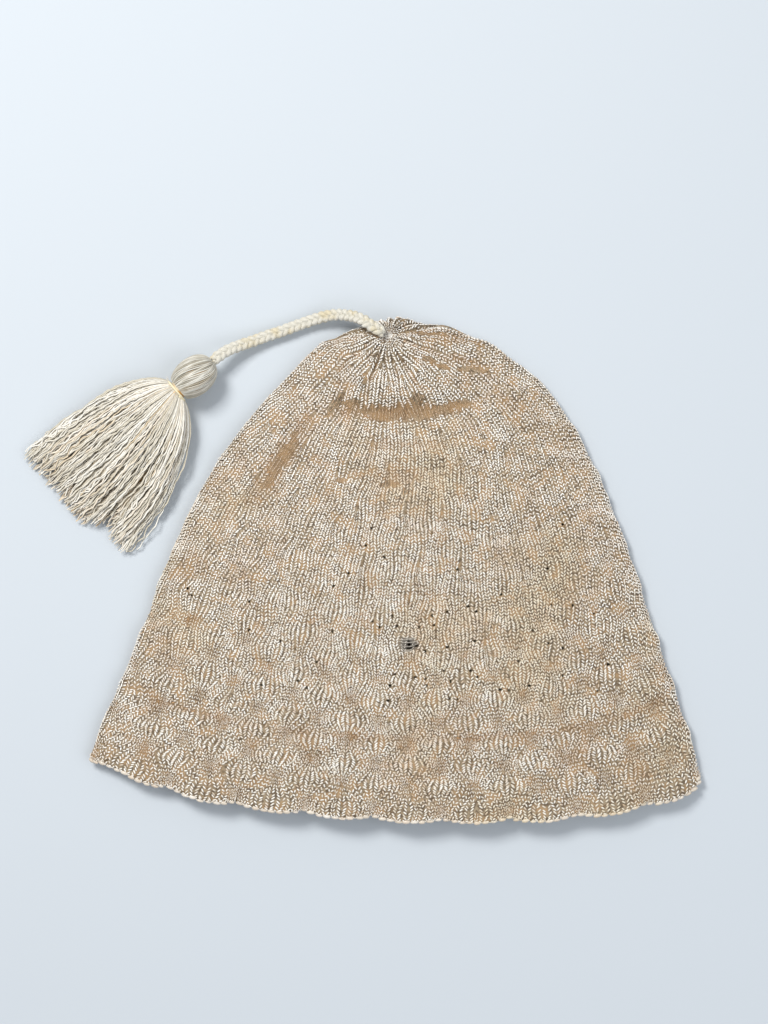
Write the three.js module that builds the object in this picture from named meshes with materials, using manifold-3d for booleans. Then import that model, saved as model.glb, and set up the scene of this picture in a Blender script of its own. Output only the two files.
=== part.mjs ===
// A knitted nightcap lying flat on its back, gathered at the crown, with a cord and tassel.
// Millimetres, +Z up, +Y towards the crown. The back of the cap lies on z = 0.
import * as THREE from "three";
import { mergeVertices } from "three/addons/utils/BufferGeometryUtils.js";
import Module from "manifold-3d";

// Driving dimensions of the cap
const capWidth = 280;
const capHeight = 228;
const crownThickness = 18;
const mouthThickness = 12.5;
const knitWall = 1.5;
const facingHeight = 36;
const sideFoldHeight = 3.6;
const scallopCount = 18;
const scallopDepth = 2.6;
const pleatCount = 18;
const pleatDepth = 1.9;
const pleatReach = 50;
const creaseDepth = 3.6;
const creaseWidth = 9;
const crownKnotReach = 15;
const scallopReach = 14;
const scallopOffset = 0.036;
const hemSkew = 0.13;

// The worn hole through the front
const wornHoleWidth = 9;
const wornHoleHeight = 6;

// Driving dimensions of the cord and tassel
const cordDiameter = 5.5;
const tasselHeadLength = 22;
const tasselHeadWidth = 18;
const neckWidth = 10;
const skirtLength = 72;
const skirtSpread = 66;
const lockWidth = 8.4;
const lockThickness = 4.6;
const bindingThread = 1;
const seatGap = 0.3;

// Side edges of the cap's rings from the gather to the hem, as shares of its width and height
// from its middle. down is the ring's share of the way from the gather to the hem.
const outlineTable = [
  { down: 0, leftX: -0.011, leftY: 0.464, rightX: -0.011, rightY: 0.464 },
  { down: 0.04, leftX: -0.046, leftY: 0.471, rightX: 0.023, rightY: 0.473 },
  { down: 0.07, leftX: -0.069, leftY: 0.47, rightX: 0.051, rightY: 0.479 },
  { down: 0.1, leftX: -0.092, leftY: 0.462, rightX: 0.078, rightY: 0.478 },
  { down: 0.18, leftX: -0.15, leftY: 0.414, rightX: 0.15, rightY: 0.446 },
  { down: 0.3, leftX: -0.225, leftY: 0.32, rightX: 0.243, rightY: 0.366 },
  { down: 0.45, leftX: -0.305, leftY: 0.186, rightX: 0.321, rightY: 0.214 },
  { down: 0.6, leftX: -0.364, leftY: 0.038, rightX: 0.376, rightY: 0.048 },
  { down: 0.75, leftX: -0.412, leftY: -0.116, rightX: 0.422, rightY: -0.122 },
  { down: 0.9, leftX: -0.463, leftY: -0.27, rightX: 0.468, rightY: -0.29 },
  { down: 1, leftX: -0.499, leftY: -0.372, rightX: 0.499, rightY: -0.404 },
];

// How far each ring hangs below its side edges, as shares of the cap's height, and the heights of
// its side edges, front and back, as shares of the thickness there.
const profileTable = [
  { down: 0, sag: 0, backSag: 0, edge: 0.7, front: 0.7, back: 0.7 },
  { down: 0.04, sag: 0.049, backSag: -0.022, edge: 0.76, front: 0.9, back: 0.72 },
  { down: 0.07, sag: 0.084, backSag: -0.02, edge: 0.62, front: 0.96, back: 0.34 },
  { down: 0.1, sag: 0.105, backSag: -0.008, edge: 0.46, front: 1, back: 0.06 },
  { down: 0.18, sag: 0.138, backSag: 0, edge: 0.3, front: 1.02, back: 0 },
  { down: 0.3, sag: 0.165, backSag: 0.03, edge: 0.24, front: 1.03, back: 0 },
  { down: 0.45, sag: 0.166, backSag: 0.045, edge: 0.23, front: 1.03, back: 0 },
  { down: 0.6, sag: 0.152, backSag: 0.045, edge: 0.24, front: 1.02, back: 0 },
  { down: 0.75, sag: 0.132, backSag: 0.045, edge: 0.26, front: 1, back: 0 },
  { down: 0.9, sag: 0.112, backSag: 0.047, edge: 0.28, front: 1, back: 0 },
  { down: 1, sag: 0.098, backSag: 0.05, edge: 0.29, front: 1, back: 0 },
];

// Creases of the front: ends and bend as shares of the cap's width and height from its middle,
// depth and width as shares of creaseDepth and creaseWidth. From the top: under the gathers, the
// grooves along both sides, across the upper body, beside the gather and below the puff.
const creaseTable = [
  { fromX: -0.13, fromY: 0.33, bendX: 0.008, bendY: 0.29, toX: 0.14, toY: 0.33, depth: 1, width: 0.8 },
  { fromX: -0.115, fromY: 0.345, bendX: -0.19, bendY: 0.21, toX: -0.255, toY: 0.09, depth: 0.85, width: 1 },
  { fromX: 0.12, fromY: 0.36, bendX: 0.245, bendY: 0.33, toX: 0.29, toY: 0.17, depth: 0.5, width: 0.9 },
  { fromX: -0.125, fromY: 0.2, bendX: 0.008, bendY: 0.17, toX: 0.14, toY: 0.205, depth: 0.4, width: 0.7 },
  { fromX: 0.045, fromY: 0.462, bendX: 0.09, bendY: 0.464, toX: 0.125, toY: 0.45, depth: 0.3, width: 0.5 },
  { fromX: 0.07, fromY: 0.425, bendX: 0.11, bendY: 0.42, toX: 0.145, toY: 0.4, depth: 0.3, width: 0.5 },
];

// Gaps of the worn hole: middle, length and width as shares of the hole's width and height,
// turn in degrees. The hole's place is across its ring and down the front.
const holePlace = { across: 0.045, down: 0.647 };
const gapTable = [
  { acrossShare: -0.26, upShare: 0.12, lengthShare: 0.46, widthShare: 0.52, turn: 60 },
  { acrossShare: 0.24, upShare: 0.2, lengthShare: 0.4, widthShare: 0.4, turn: 20 },
  { acrossShare: 0.16, upShare: -0.36, lengthShare: 0.44, widthShare: 0.3, turn: -15 },
];

// The cord's route from the gather to the tassel: offsets from the gather, and how far its
// centreline is still lifted by the cap and already lifted by the tassel's head.
const cordRoute = [
  { across: -2.3, up: 0.7, onCap: 1.02, onTassel: 0 },
  { across: -5, up: 2.1, onCap: 1.05, onTassel: 0 },
  { across: -8.2, up: 4.1, onCap: 1.03, onTassel: 0 },
  { across: -12.8, up: 7.1, onCap: 0.87, onTassel: 0 },
  { across: -18, up: 8.9, onCap: 0.57, onTassel: 0 },
  { across: -24.4, up: 9.6, onCap: 0.26, onTassel: 0 },
  { across: -31.5, up: 8.4, onCap: 0.08, onTassel: 0 },
  { across: -37.8, up: 6.4, onCap: 0, onTassel: 0 },
  { across: -44.7, up: 3.9, onCap: 0, onTassel: 0 },
  { across: -50.6, up: 1.8, onCap: 0, onTassel: 0 },
  { across: -56.1, up: 0, onCap: 0, onTassel: 0.02 },
  { across: -61.6, up: -2.1, onCap: 0, onTassel: 0.11 },
  { across: -67, up: -4, onCap: 0, onTassel: 0.34 },
  { across: -72.5, up: -6.3, onCap: 0, onTassel: 0.66 },
  { across: -76.4, up: -8.7, onCap: 0, onTassel: 0.9 },
  { across: -79.8, up: -11.5, onCap: 0, onTassel: 1 },
];

// Locks across the skirt's fan: reach as a share of its length, side and bend as shares of its spread
const lockTable = [
  { fan: 0, reach: 0.96, side: -0.33, bend: -0.345 },
  { fan: 0.2, reach: 0.98, side: -0.16, bend: -0.18 },
  { fan: 0.4, reach: 1, side: 0.03, bend: -0.01 },
  { fan: 0.6, reach: 1, side: 0.22, bend: 0.16 },
  { fan: 0.8, reach: 0.93, side: 0.41, bend: 0.33 },
  { fan: 1, reach: 0.87, side: 0.575, bend: 0.5 },
];

// Two layers of locks: the part of the fan that each covers, its lift and its share of the reach
const lockLayers = [
  { count: 8, start: 0.16, end: 0.84, lift: 1, reach: 0.93 },
  { count: 10, start: 0, end: 1, lift: 0, reach: 1 },
];

// Mesh density
const roundSteps = 108;
const ringSteps = 17;
const ringCrowding = 1.2;
const cordSides = 10;
const cordSteps = 30;
const lockSides = 6;
const lockSteps = 5;
const headSides = 16;
const bindingSides = 8;
const bindingSteps = 24;

// Shape of a ring's section
const ringRoundness = 0.55;
const foldRoundness = 0.4;
const backFoldShare = 0.25;
const sideCrowding = 0.5;
const measureStep = 0.012;

const smoothstep = THREE.MathUtils.smoothstep;
const lerp = THREE.MathUtils.lerp;

const wasm = await Module();
wasm.setup();

function toSolid(geometry) {
  const bare = geometry.clone();
  bare.deleteAttribute("normal");
  bare.deleteAttribute("uv");
  const merged = mergeVertices(bare, 1e-4);
  return new wasm.Manifold(
    new wasm.Mesh({
      numProp: 3,
      vertProperties: new Float32Array(merged.attributes.position.array),
      triVerts: new Uint32Array(merged.index.array),
    }),
  );
}

function toGeometry(solid) {
  const mesh = solid.getMesh();
  const geometry = new THREE.BufferGeometry();
  geometry.setAttribute("position", new THREE.BufferAttribute(mesh.vertProperties, 3));
  geometry.setIndex(new THREE.BufferAttribute(mesh.triVerts, 1));
  geometry.computeVertexNormals();
  return geometry;
}

function closedGeometry(points, triangles) {
  const geometry = new THREE.BufferGeometry();
  const positions = points.flatMap((point) => [point.x, point.y, point.z]);
  geometry.setAttribute("position", new THREE.Float32BufferAttribute(positions, 3));
  geometry.setIndex(triangles.flat());
  geometry.computeVertexNormals();
  return geometry;
}

// Smooth value of one column of a table between its rows
function tableValue(table, key, column, place) {
  const last = table.length - 1;
  let row = 0;
  while (row < last - 1 && place > table[row + 1][key]) row += 1;
  const slopeAt = (index) => {
    const before = table[Math.max(index - 1, 0)];
    const after = table[Math.min(index + 1, last)];
    return (after[column] - before[column]) / (after[key] - before[key]);
  };
  const from = table[row];
  const to = table[row + 1];
  const span = to[key] - from[key];
  const share = (place - from[key]) / span;
  const square = share * share;
  const cube = square * share;
  return (
    from[column] * (2 * cube - 3 * square + 1) +
    slopeAt(row) * span * (cube - 2 * square + share) +
    to[column] * (3 * square - 2 * cube) +
    slopeAt(row + 1) * span * (cube - square)
  );
}

// Round runs from 0 at the right edge over the front to 2 at the left edge and under the back to 4.
function acrossShare(round) {
  const turned = ((round % 4) + 4) % 4;
  const straight = turned < 2 ? 1 - turned : turned - 3;
  return lerp(straight, Math.sin((straight * Math.PI) / 2), sideCrowding);
}

function isFront(round) {
  return ((round % 4) + 4) % 4 < 2;
}

// Smooth outer surface before pleats, creases and scallops
function basePoint(round, down) {
  const outline = (column) => tableValue(outlineTable, "down", column, down);
  const profile = (column) => tableValue(profileTable, "down", column, down);
  const across = acrossShare(round);
  const inward = Math.max(1 - across * across, 0);
  const half = (across + 1) / 2;
  const front = isFront(round);
  const thickness = lerp(crownThickness, mouthThickness, down);
  const skew = 1 + hemSkew * across * smoothstep(down, 0.5, 1);
  const sag = capHeight * skew * profile(front ? "sag" : "backSag");
  const atGather = 1 - smoothstep(down, 0, 0.3);
  const edge = lerp(sideFoldHeight, thickness * profile("edge"), atGather);
  const target = thickness * Math.max(profile(front ? "front" : "back"), 0);
  const backTurn = Math.max(1 - Math.sqrt(inward) / backFoldShare, 0);
  const rise = front ? inward ** foldRoundness : 1 - backTurn ** 2;
  return new THREE.Vector3(
    capWidth * lerp(outline("leftX"), outline("rightX"), half),
    capHeight * lerp(outline("leftY"), outline("rightY"), half) - sag * inward ** ringRoundness,
    edge + (target - edge) * rise,
  );
}

function baseNormal(round, down) {
  const lower = Math.min(down + measureStep, 1);
  const upper = Math.max(down - measureStep, 0.001);
  const alongRound = basePoint(round + measureStep, down).sub(basePoint(round - measureStep, down));
  const alongDown = basePoint(round, lower).sub(basePoint(round, upper));
  return alongRound.cross(alongDown).normalize();
}

const creases = creaseTable.map((row) => {
  const place = (across, up) => new THREE.Vector2(capWidth * across, capHeight * up);
  const curve = new THREE.QuadraticBezierCurve(
    place(row.fromX, row.fromY),
    place(row.bendX, row.bendY),
    place(row.toX, row.toY),
  );
  return { points: curve.getPoints(24), depth: creaseDepth * row.depth, width: creaseWidth * row.width };
});

// How far the creases press the front down at a place
function creaseDrop(x, y) {
  let drop = 0;
  for (const crease of creases) {
    const last = crease.points.length - 1;
    let strongest = 0;
    crease.points.forEach((point, index) => {
      const distance = Math.hypot(point.x - x, point.y - y) / crease.width;
      const fade = Math.sqrt(Math.sin((Math.PI * (index + 0.5)) / (last + 1)));
      strongest = Math.max(strongest, fade * Math.exp(-distance * distance));
    });
    drop += crease.depth * strongest;
  }
  return drop;
}

// Depth of the gather's pleats: valleys that run out from the gather and fade
function pleatDrop(round, down) {
  const reach = pleatReach / capHeight;
  const strength = smoothstep(down, 0, reach * 0.2) * (1 - smoothstep(down, reach * 0.35, reach * 1.15));
  const turn = (round / 4) * pleatCount;
  const uneven = 0.8 + 0.2 * Math.sin(2.4 * Math.round(turn));
  return pleatDepth * uneven * strength * (0.5 + 0.5 * Math.cos(2 * Math.PI * turn));
}

function scallopDrop(round, down) {
  const repeat = 4 / scallopCount;
  const share = Math.abs(Math.cos((Math.PI * (acrossShare(round) - scallopOffset)) / repeat));
  return scallopDepth * Math.sqrt(share) * smoothstep(down, 1 - scallopReach / capHeight, 1);
}

// A point of the cap's knit, a given depth under its outer surface
function knitPoint(round, down, depth) {
  const point = basePoint(round, down);
  const normal = baseNormal(round, down);
  point.addScaledVector(normal, -depth);
  const lift = Math.max(normal.z, 0);
  point.z -= lift * creaseDrop(point.x, point.y);
  point.addScaledVector(normal, -pleatDrop(round, down));
  point.y -= scallopDrop(round, down);
  return point;
}

function ringPlaces() {
  const facingTop = 1 - facingHeight / capHeight;
  const halfStep = (knitWall * 0.5) / capHeight;
  const places = [];
  for (let step = 1; step <= ringSteps; step += 1) {
    const down = (step / ringSteps) ** ringCrowding;
    const near = Math.abs(down - facingTop) < 0.5 / ringSteps;
    if (!near) places.push(down);
  }
  places.push(facingTop - halfStep, facingTop + halfStep);
  return places.sort((a, b) => a - b);
}

// The hollow knitted wall: outer skin from the gather to the hem, fold at the hem, inner skin back up
function capGeometry() {
  const places = ringPlaces();
  const facingTop = 1 - facingHeight / capHeight;
  const points = [];
  const triangles = [];
  const rings = [];
  const addRing = (pointAt) => {
    const start = points.length;
    for (let step = 0; step < roundSteps; step += 1) points.push(pointAt((4 * step) / roundSteps));
    rings.push(start);
  };
  const outerPole = points.push(basePoint(1, 0)) - 1;
  places.forEach((down) => addRing((round) => knitPoint(round, down, 0)));
  addRing((round) => {
    const point = knitPoint(round, 1, knitWall);
    point.y -= knitWall * 0.6;
    return point;
  });
  const innerPlaces = places.filter((down) => down * capHeight > crownKnotReach);
  innerPlaces.reverse().forEach((down) => {
    const layers = down > facingTop ? 2 : 1;
    addRing((round) => knitPoint(round, down, knitWall * layers));
  });
  const lastRing = rings[rings.length - 1];
  const middle = new THREE.Vector3();
  for (let step = 0; step < roundSteps; step += 1) middle.add(points[lastRing + step]);
  const innerPole = points.push(middle.divideScalar(roundSteps)) - 1;
  for (let step = 0; step < roundSteps; step += 1) {
    const next = (step + 1) % roundSteps;
    triangles.push([outerPole, rings[0] + step, rings[0] + next].reverse());
    for (let ring = 0; ring < rings.length - 1; ring += 1) {
      const here = rings[ring];
      const there = rings[ring + 1];
      triangles.push([here + step, there + step, there + next].reverse());
      triangles.push([here + step, there + next, here + next].reverse());
    }
    triangles.push([innerPole, lastRing + next, lastRing + step].reverse());
  }
  return closedGeometry(points, triangles);
}

// The open gaps of the worn place, as one cutter through the front wall
function wornGaps() {
  const round = 1 - holePlace.across;
  const centre = basePoint(round, holePlace.down);
  return gapTable.map((gap) => {
    const cutter = new THREE.CylinderGeometry(0.5, 0.5, knitWall * 4, 10);
    cutter.rotateX(Math.PI / 2);
    cutter.scale(wornHoleWidth * gap.lengthShare, wornHoleHeight * gap.widthShare, 1);
    cutter.rotateZ(THREE.MathUtils.degToRad(gap.turn));
    cutter.translate(
      centre.x + wornHoleWidth * gap.acrossShare,
      centre.y + wornHoleHeight * gap.upShare,
      centre.z - knitWall / 2,
    );
    return toSolid(cutter);
  });
}

function capMesh() {
  const body = wornGaps().reduce((solid, gap) => solid.subtract(gap), toSolid(capGeometry()));
  const knit = new THREE.MeshStandardMaterial({ color: 0xbdb19f, roughness: 0.55, metalness: 0 });
  const mesh = new THREE.Mesh(toGeometry(body), knit);
  mesh.name = "cap_body";
  return mesh;
}

// In the tassel's own frame +X runs along it from the cord's end, and z = 0 is the surface below it.
// The neck starts where the round head has narrowed to less than the neck.
const axisHeight = tasselHeadWidth / 2 + seatGap / 3;
const headMiddle = seatGap + tasselHeadLength / 2;
const headToNeck = Math.sqrt(1 - ((0.8 * neckWidth) / tasselHeadWidth) ** 2);
const neckPlace = headMiddle + (headToNeck * tasselHeadLength) / 2 + bindingThread / 2;
const lockStart = neckPlace + bindingThread / 2 + seatGap + neckWidth * 0.15;

const gatherPoint = basePoint(1, 0);

function cordPoints() {
  const low = cordDiameter / 2 + seatGap;
  return cordRoute.map((row) => {
    const height = low + row.onCap * gatherPoint.z + row.onTassel * (axisHeight - low);
    return new THREE.Vector3(gatherPoint.x + row.across, gatherPoint.y + row.up, height);
  });
}

function cordMesh() {
  const section = new THREE.Shape();
  section.absarc(0, 0, cordDiameter / 2, 0, 2 * Math.PI, false);
  const route = new THREE.CatmullRomCurve3(cordPoints());
  const tube = new THREE.ExtrudeGeometry(section, {
    steps: cordSteps,
    curveSegments: cordSides / 2,
    extrudePath: route,
    bevelEnabled: false,
  });
  const braid = new THREE.MeshStandardMaterial({ color: 0xd0c9b8, roughness: 0.5, metalness: 0 });
  const mesh = new THREE.Mesh(tube, braid);
  mesh.name = "braided_cord";
  return mesh;
}

function headSolid() {
  const head = new THREE.SphereGeometry(0.5, headSides, headSides / 2);
  head.rotateZ(Math.PI / 2);
  head.scale(tasselHeadLength, tasselHeadWidth, tasselHeadWidth);
  head.translate(headMiddle, 0, axisHeight);
  const neckEnd = lockStart + lockThickness * 0.25;
  const neck = new THREE.CylinderGeometry(neckWidth / 2, neckWidth / 2, neckEnd - headMiddle, headSides);
  neck.rotateZ(Math.PI / 2);
  neck.translate((neckEnd + headMiddle) / 2, 0, axisHeight);
  return toSolid(head).add(toSolid(neck));
}

// One tapering lock of the skirt along a curve, flat ended
function lockSolid(curve, widthAt, heightAt) {
  const points = [];
  const triangles = [];
  for (let step = 0; step <= lockSteps; step += 1) {
    const share = step / lockSteps;
    const middle = curve.getPoint(share);
    const along = curve.getTangent(share);
    const aside = new THREE.Vector3(-along.y, along.x, 0).normalize();
    for (let side = 0; side < lockSides; side += 1) {
      const turn = (2 * Math.PI * side) / lockSides;
      const point = middle.clone().addScaledVector(aside, (widthAt(share) / 2) * Math.cos(turn));
      point.z += (heightAt(share) / 2) * Math.sin(turn);
      points.push(point);
    }
  }
  for (let side = 0; side < lockSides; side += 1) {
    const next = (side + 1) % lockSides;
    for (let step = 0; step < lockSteps; step += 1) {
      const here = step * lockSides;
      const there = here + lockSides;
      triangles.push([here + side, here + next, there + next], [here + side, there + next, there + side]);
    }
    const end = lockSteps * lockSides;
    if (side > 0 && side < lockSides - 1) {
      triangles.push([0, side + 1, side], [end, end + side, end + side + 1]);
    }
  }
  return toSolid(closedGeometry(points, triangles));
}

// The curve of a lock from the neck out to its end on the surface
function lockCurve(layer, fan, ragged) {
  const lock = (column) => tableValue(lockTable, "fan", column, fan);
  const startHeight = axisHeight + (layer.lift - 0.5) * neckWidth * 0.42;
  const restHeight = lockThickness * (0.55 + 0.7 * layer.lift);
  const reach = skirtLength * lock("reach") * layer.reach * ragged;
  return new THREE.QuadraticBezierCurve3(
    new THREE.Vector3(lockStart, (fan - 0.5) * neckWidth * 0.5, startHeight),
    new THREE.Vector3(neckPlace + skirtLength * 0.2, skirtSpread * lock("bend"), startHeight),
    new THREE.Vector3(neckPlace + reach, skirtSpread * lock("side"), restHeight),
  );
}

function skirtLocks() {
  const widthAt = (share) =>
    lockWidth * (0.5 + 0.5 * smoothstep(share, 0, 0.3) - 0.35 * smoothstep(share, 0.8, 1));
  const heightAt = (share) => lockThickness * (0.9 + 0.25 * Math.sin(Math.PI * share) - 0.3 * share);
  return lockLayers.flatMap((layer) =>
    Array.from({ length: layer.count }, (_, index) => {
      const fan = lerp(layer.start, layer.end, index / (layer.count - 1));
      const ragged = 1 - 0.05 * (index % 2) - 0.03 * (index % 3);
      return lockSolid(lockCurve(layer, fan, ragged), widthAt, heightAt);
    }),
  );
}

function tasselMesh() {
  const fused = skirtLocks().reduce((solid, lock) => solid.add(lock), headSolid());
  const silk = new THREE.MeshStandardMaterial({ color: 0xc6bfaf, roughness: 0.5, metalness: 0 });
  const mesh = new THREE.Mesh(toGeometry(fused), silk);
  mesh.name = "tassel";
  return mesh;
}

function bindingMesh() {
  const wound = neckWidth / 2 + seatGap + bindingThread / 2;
  const ring = new THREE.TorusGeometry(wound, bindingThread / 2, bindingSides, bindingSteps);
  ring.rotateY(Math.PI / 2);
  ring.translate(neckPlace, 0, axisHeight);
  const thread = new THREE.MeshStandardMaterial({ color: 0xd2cba8, roughness: 0.6, metalness: 0 });
  const mesh = new THREE.Mesh(ring, thread);
  mesh.name = "neck_binding";
  return mesh;
}

// The tassel lies where the cord ends and points the way the cord's last stretch does.
function tasselGroup() {
  const route = cordPoints();
  const end = route[route.length - 1];
  const before = route[route.length - 2];
  const group = new THREE.Group();
  group.position.set(end.x, end.y, 0);
  group.rotation.z = Math.atan2(end.y - before.y, end.x - before.x);
  group.add(tasselMesh(), bindingMesh());
  return group;
}

function nightcap() {
  const cap = capMesh();
  cap.geometry.computeBoundingBox();
  const middle = cap.geometry.boundingBox.getCenter(new THREE.Vector3());
  const group = new THREE.Group();
  group.add(cap, cordMesh(), tasselGroup());
  group.position.set(-middle.x, -middle.y, -cap.geometry.boundingBox.min.z);
  return group;
}

const group = nightcap();
export default group;
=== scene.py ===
import math
import bmesh
import bpy
import numpy as np
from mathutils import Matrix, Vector


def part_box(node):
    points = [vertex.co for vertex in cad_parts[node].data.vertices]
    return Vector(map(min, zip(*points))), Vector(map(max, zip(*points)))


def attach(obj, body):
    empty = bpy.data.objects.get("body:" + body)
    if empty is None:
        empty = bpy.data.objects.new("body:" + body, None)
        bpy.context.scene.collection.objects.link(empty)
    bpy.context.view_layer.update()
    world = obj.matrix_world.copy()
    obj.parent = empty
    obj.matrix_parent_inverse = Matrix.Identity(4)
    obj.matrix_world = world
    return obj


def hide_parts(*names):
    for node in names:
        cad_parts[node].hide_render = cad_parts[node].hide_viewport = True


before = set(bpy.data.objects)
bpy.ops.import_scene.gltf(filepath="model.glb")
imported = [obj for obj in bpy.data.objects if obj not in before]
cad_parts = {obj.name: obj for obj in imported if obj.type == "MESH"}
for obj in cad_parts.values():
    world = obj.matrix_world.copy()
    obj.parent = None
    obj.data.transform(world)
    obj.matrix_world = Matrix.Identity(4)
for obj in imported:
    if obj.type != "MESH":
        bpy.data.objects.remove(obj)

scene = bpy.context.scene
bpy.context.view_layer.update()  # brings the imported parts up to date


# small helpers

def smooth(value, low, high):  # 0 below low, 1 above high
    share = np.clip((value - low) / (high - low), 0, 1)
    return share * share * (3 - 2 * share)


def mix(a, b, share):
    return a + (b - a) * share


def slopesOf(values, keys):  # slope of a smooth curve at each of its points
    slopes = np.empty_like(values)
    slopes[1:-1] = (values[2:] - values[:-2]) / (keys[2:] - keys[:-2])
    slopes[0] = (values[1] - values[0]) / (keys[1] - keys[0])
    slopes[-1] = (values[-1] - values[-2]) / (keys[-1] - keys[-2])
    return slopes


def between(values, slopes, row, span, s):  # the curve after one point, s from 0 to 1
    return (values[row] * (2 * s ** 3 - 3 * s ** 2 + 1) + slopes[row] * span * (s ** 3 - 2 * s ** 2 + s)
            + values[row + 1] * (3 * s ** 2 - 2 * s ** 3) + slopes[row + 1] * span * (s ** 3 - s ** 2))


def columnAt(table, column, key, place):  # smooth value of one column between the table's rows
    keys = np.array(table[key], float)
    values = np.array(table[column], float)
    row = np.clip(np.searchsorted(keys, place, side="right") - 1, 0, len(keys) - 2)
    span = keys[row + 1] - keys[row]
    return between(values, slopesOf(values, keys), row, span, (place - keys[row]) / span)


def unit(vectors):
    return vectors / np.maximum(np.linalg.norm(vectors, axis=-1, keepdims=True), 1e-12)


def ripple(x, y, size, seed):  # soft uneven value from -1 to 1, a few crossing waves
    draw = np.random.default_rng(seed)
    total = np.zeros(np.shape(x))
    for _ in range(6):
        way = draw.uniform(0, 2 * math.pi)
        length = size * draw.uniform(0.6, 1.6)
        start = draw.uniform(0, 6.28)
        total = total + np.sin(2 * math.pi * (x * math.cos(way) + y * math.sin(way)) / length + start)
    return np.clip(total / 2.6, -1, 1)


def srgb(red, green, blue):  # 0-255 as seen, to the values a shader wants
    return tuple((c / 255 / 12.92) if c <= 10 else ((c / 255 + 0.055) / 1.055) ** 2.4
                 for c in (red, green, blue)) + (1.0,)


def newPiece(name, mesh, materialName):
    if materialName:
        mesh.materials.clear()
        mesh.materials.append(materialName)
    piece = bpy.data.objects.new(name, mesh)
    scene.collection.objects.link(piece)
    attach(piece, "root")
    return piece


# camera over the cap, looking straight down as the photographer did

viewpoint = {
    "across": -0.005,
    "up": 0.0255,
    "surface": 0.005,
    "frameHeight": 0.467,
    "lens": 85,
    "sensor": 36,
}


def placeCamera():
    data = bpy.data.cameras.new("camera")
    data.lens = viewpoint["lens"]
    data.sensor_width = viewpoint["sensor"]
    data.clip_start = 0.05
    holder = bpy.data.objects.new("camera", data)
    distance = viewpoint["frameHeight"] * viewpoint["lens"] / viewpoint["sensor"]
    holder.location = (viewpoint["across"], viewpoint["up"], viewpoint["surface"] + distance)
    scene.collection.objects.link(holder)
    scene.camera = holder


placeCamera()
print("camera placed")


# the cap's shape: rings from the gather (down 0) to the hem (down 1)

capShape = {
    "width": 0.280,
    "height": 0.228,
    "crownThickness": 0.018,
    "mouthThickness": 0.0125,
    "sideFoldHeight": 0.0036,
    "facingHeight": 0.036,
    "scallops": 18,
    "scallopDepth": 0.0026,
    "scallopReach": 0.014,
    "scallopOffset": 0.036,
    "hemSkew": 0.13,
    "hemRoll": 0.0016,  # half the thickness of the turned-up hem
    "pleats": 18,
    "pleatDepth": 0.0019,
    "pleatReach": 0.050,
    "ringRoundness": 0.55,
    "foldRoundness": 0.4,
    "backFold": 0.25,
}

ringTable = {
    "down": [0, 0.04, 0.07, 0.1, 0.18, 0.3, 0.45, 0.6, 0.75, 0.9, 1],
    "leftX": [-0.011, -0.046, -0.069, -0.092, -0.15, -0.225, -0.305, -0.364, -0.412, -0.463, -0.499],
    "leftY": [0.464, 0.471, 0.47, 0.462, 0.414, 0.32, 0.186, 0.038, -0.116, -0.27, -0.372],
    "rightX": [-0.011, 0.023, 0.051, 0.078, 0.15, 0.243, 0.321, 0.376, 0.422, 0.468, 0.499],
    "rightY": [0.464, 0.473, 0.479, 0.478, 0.446, 0.366, 0.214, 0.048, -0.122, -0.29, -0.404],
    "sag": [0, 0.049, 0.084, 0.105, 0.138, 0.165, 0.166, 0.152, 0.132, 0.112, 0.098],
    "backSag": [0, -0.022, -0.02, -0.008, 0, 0.03, 0.045, 0.045, 0.045, 0.047, 0.05],
    "edge": [0.7, 0.76, 0.62, 0.46, 0.3, 0.24, 0.23, 0.24, 0.26, 0.28, 0.29],
    "front": [0.7, 0.9, 0.96, 1, 1.02, 1.03, 1.03, 1.02, 1, 1, 1],
    "back": [0.7, 0.72, 0.34, 0.06, 0, 0, 0, 0, 0, 0, 0],
}

# folds of the front, in metres: start, bend and end, depth, width above and below the line, painted shade in
# the fold
creaseRows = [
    ((-0.0364, 0.0752), (0.0022, 0.0675), (0.0392, 0.0757), 0.0044, 0.0042, 0.0080, 0.55),
    ((-0.0322, 0.0787), (-0.0532, 0.0479), (-0.0714, 0.0205), 0.0031, 0.0085, 0.0090, 0.48),
    ((0.0336, 0.0821), (0.0686, 0.0752), (0.0812, 0.0388), 0.0018, 0.0070, 0.0085, 0.16),
    ((-0.0350, 0.0456), (0.0022, 0.0388), (0.0392, 0.0467), 0.0015, 0.0045, 0.0070, 0.22),
    ((-0.0265, 0.0585), (0.0, 0.0545), (0.0310, 0.0575), 0.0011, 0.0030, 0.0048, 0.3),
    ((0.0126, 0.1053), (0.0252, 0.1058), (0.0350, 0.1026), 0.0012, 0.0030, 0.0040, 0.45),
    ((0.0196, 0.0969), (0.0308, 0.0958), (0.0406, 0.0912), 0.0012, 0.0030, 0.0040, 0.45),
]
creaseParts = ("start", "bend", "end", "depth", "above", "below", "foldShade")
creaseTable = [dict(zip(creaseParts, row)) for row in creaseRows]


def ringShare(turn):  # -1 at the left edge, 1 at the right; turn 0-2 runs over the front, 2-4 under the back
    turned = np.mod(turn, 4)
    straight = np.where(turned < 2, 1 - turned, turned - 3)
    return (straight + np.sin(straight * math.pi / 2)) / 2


def isFront(turn):
    return np.mod(turn, 4) < 2


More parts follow.
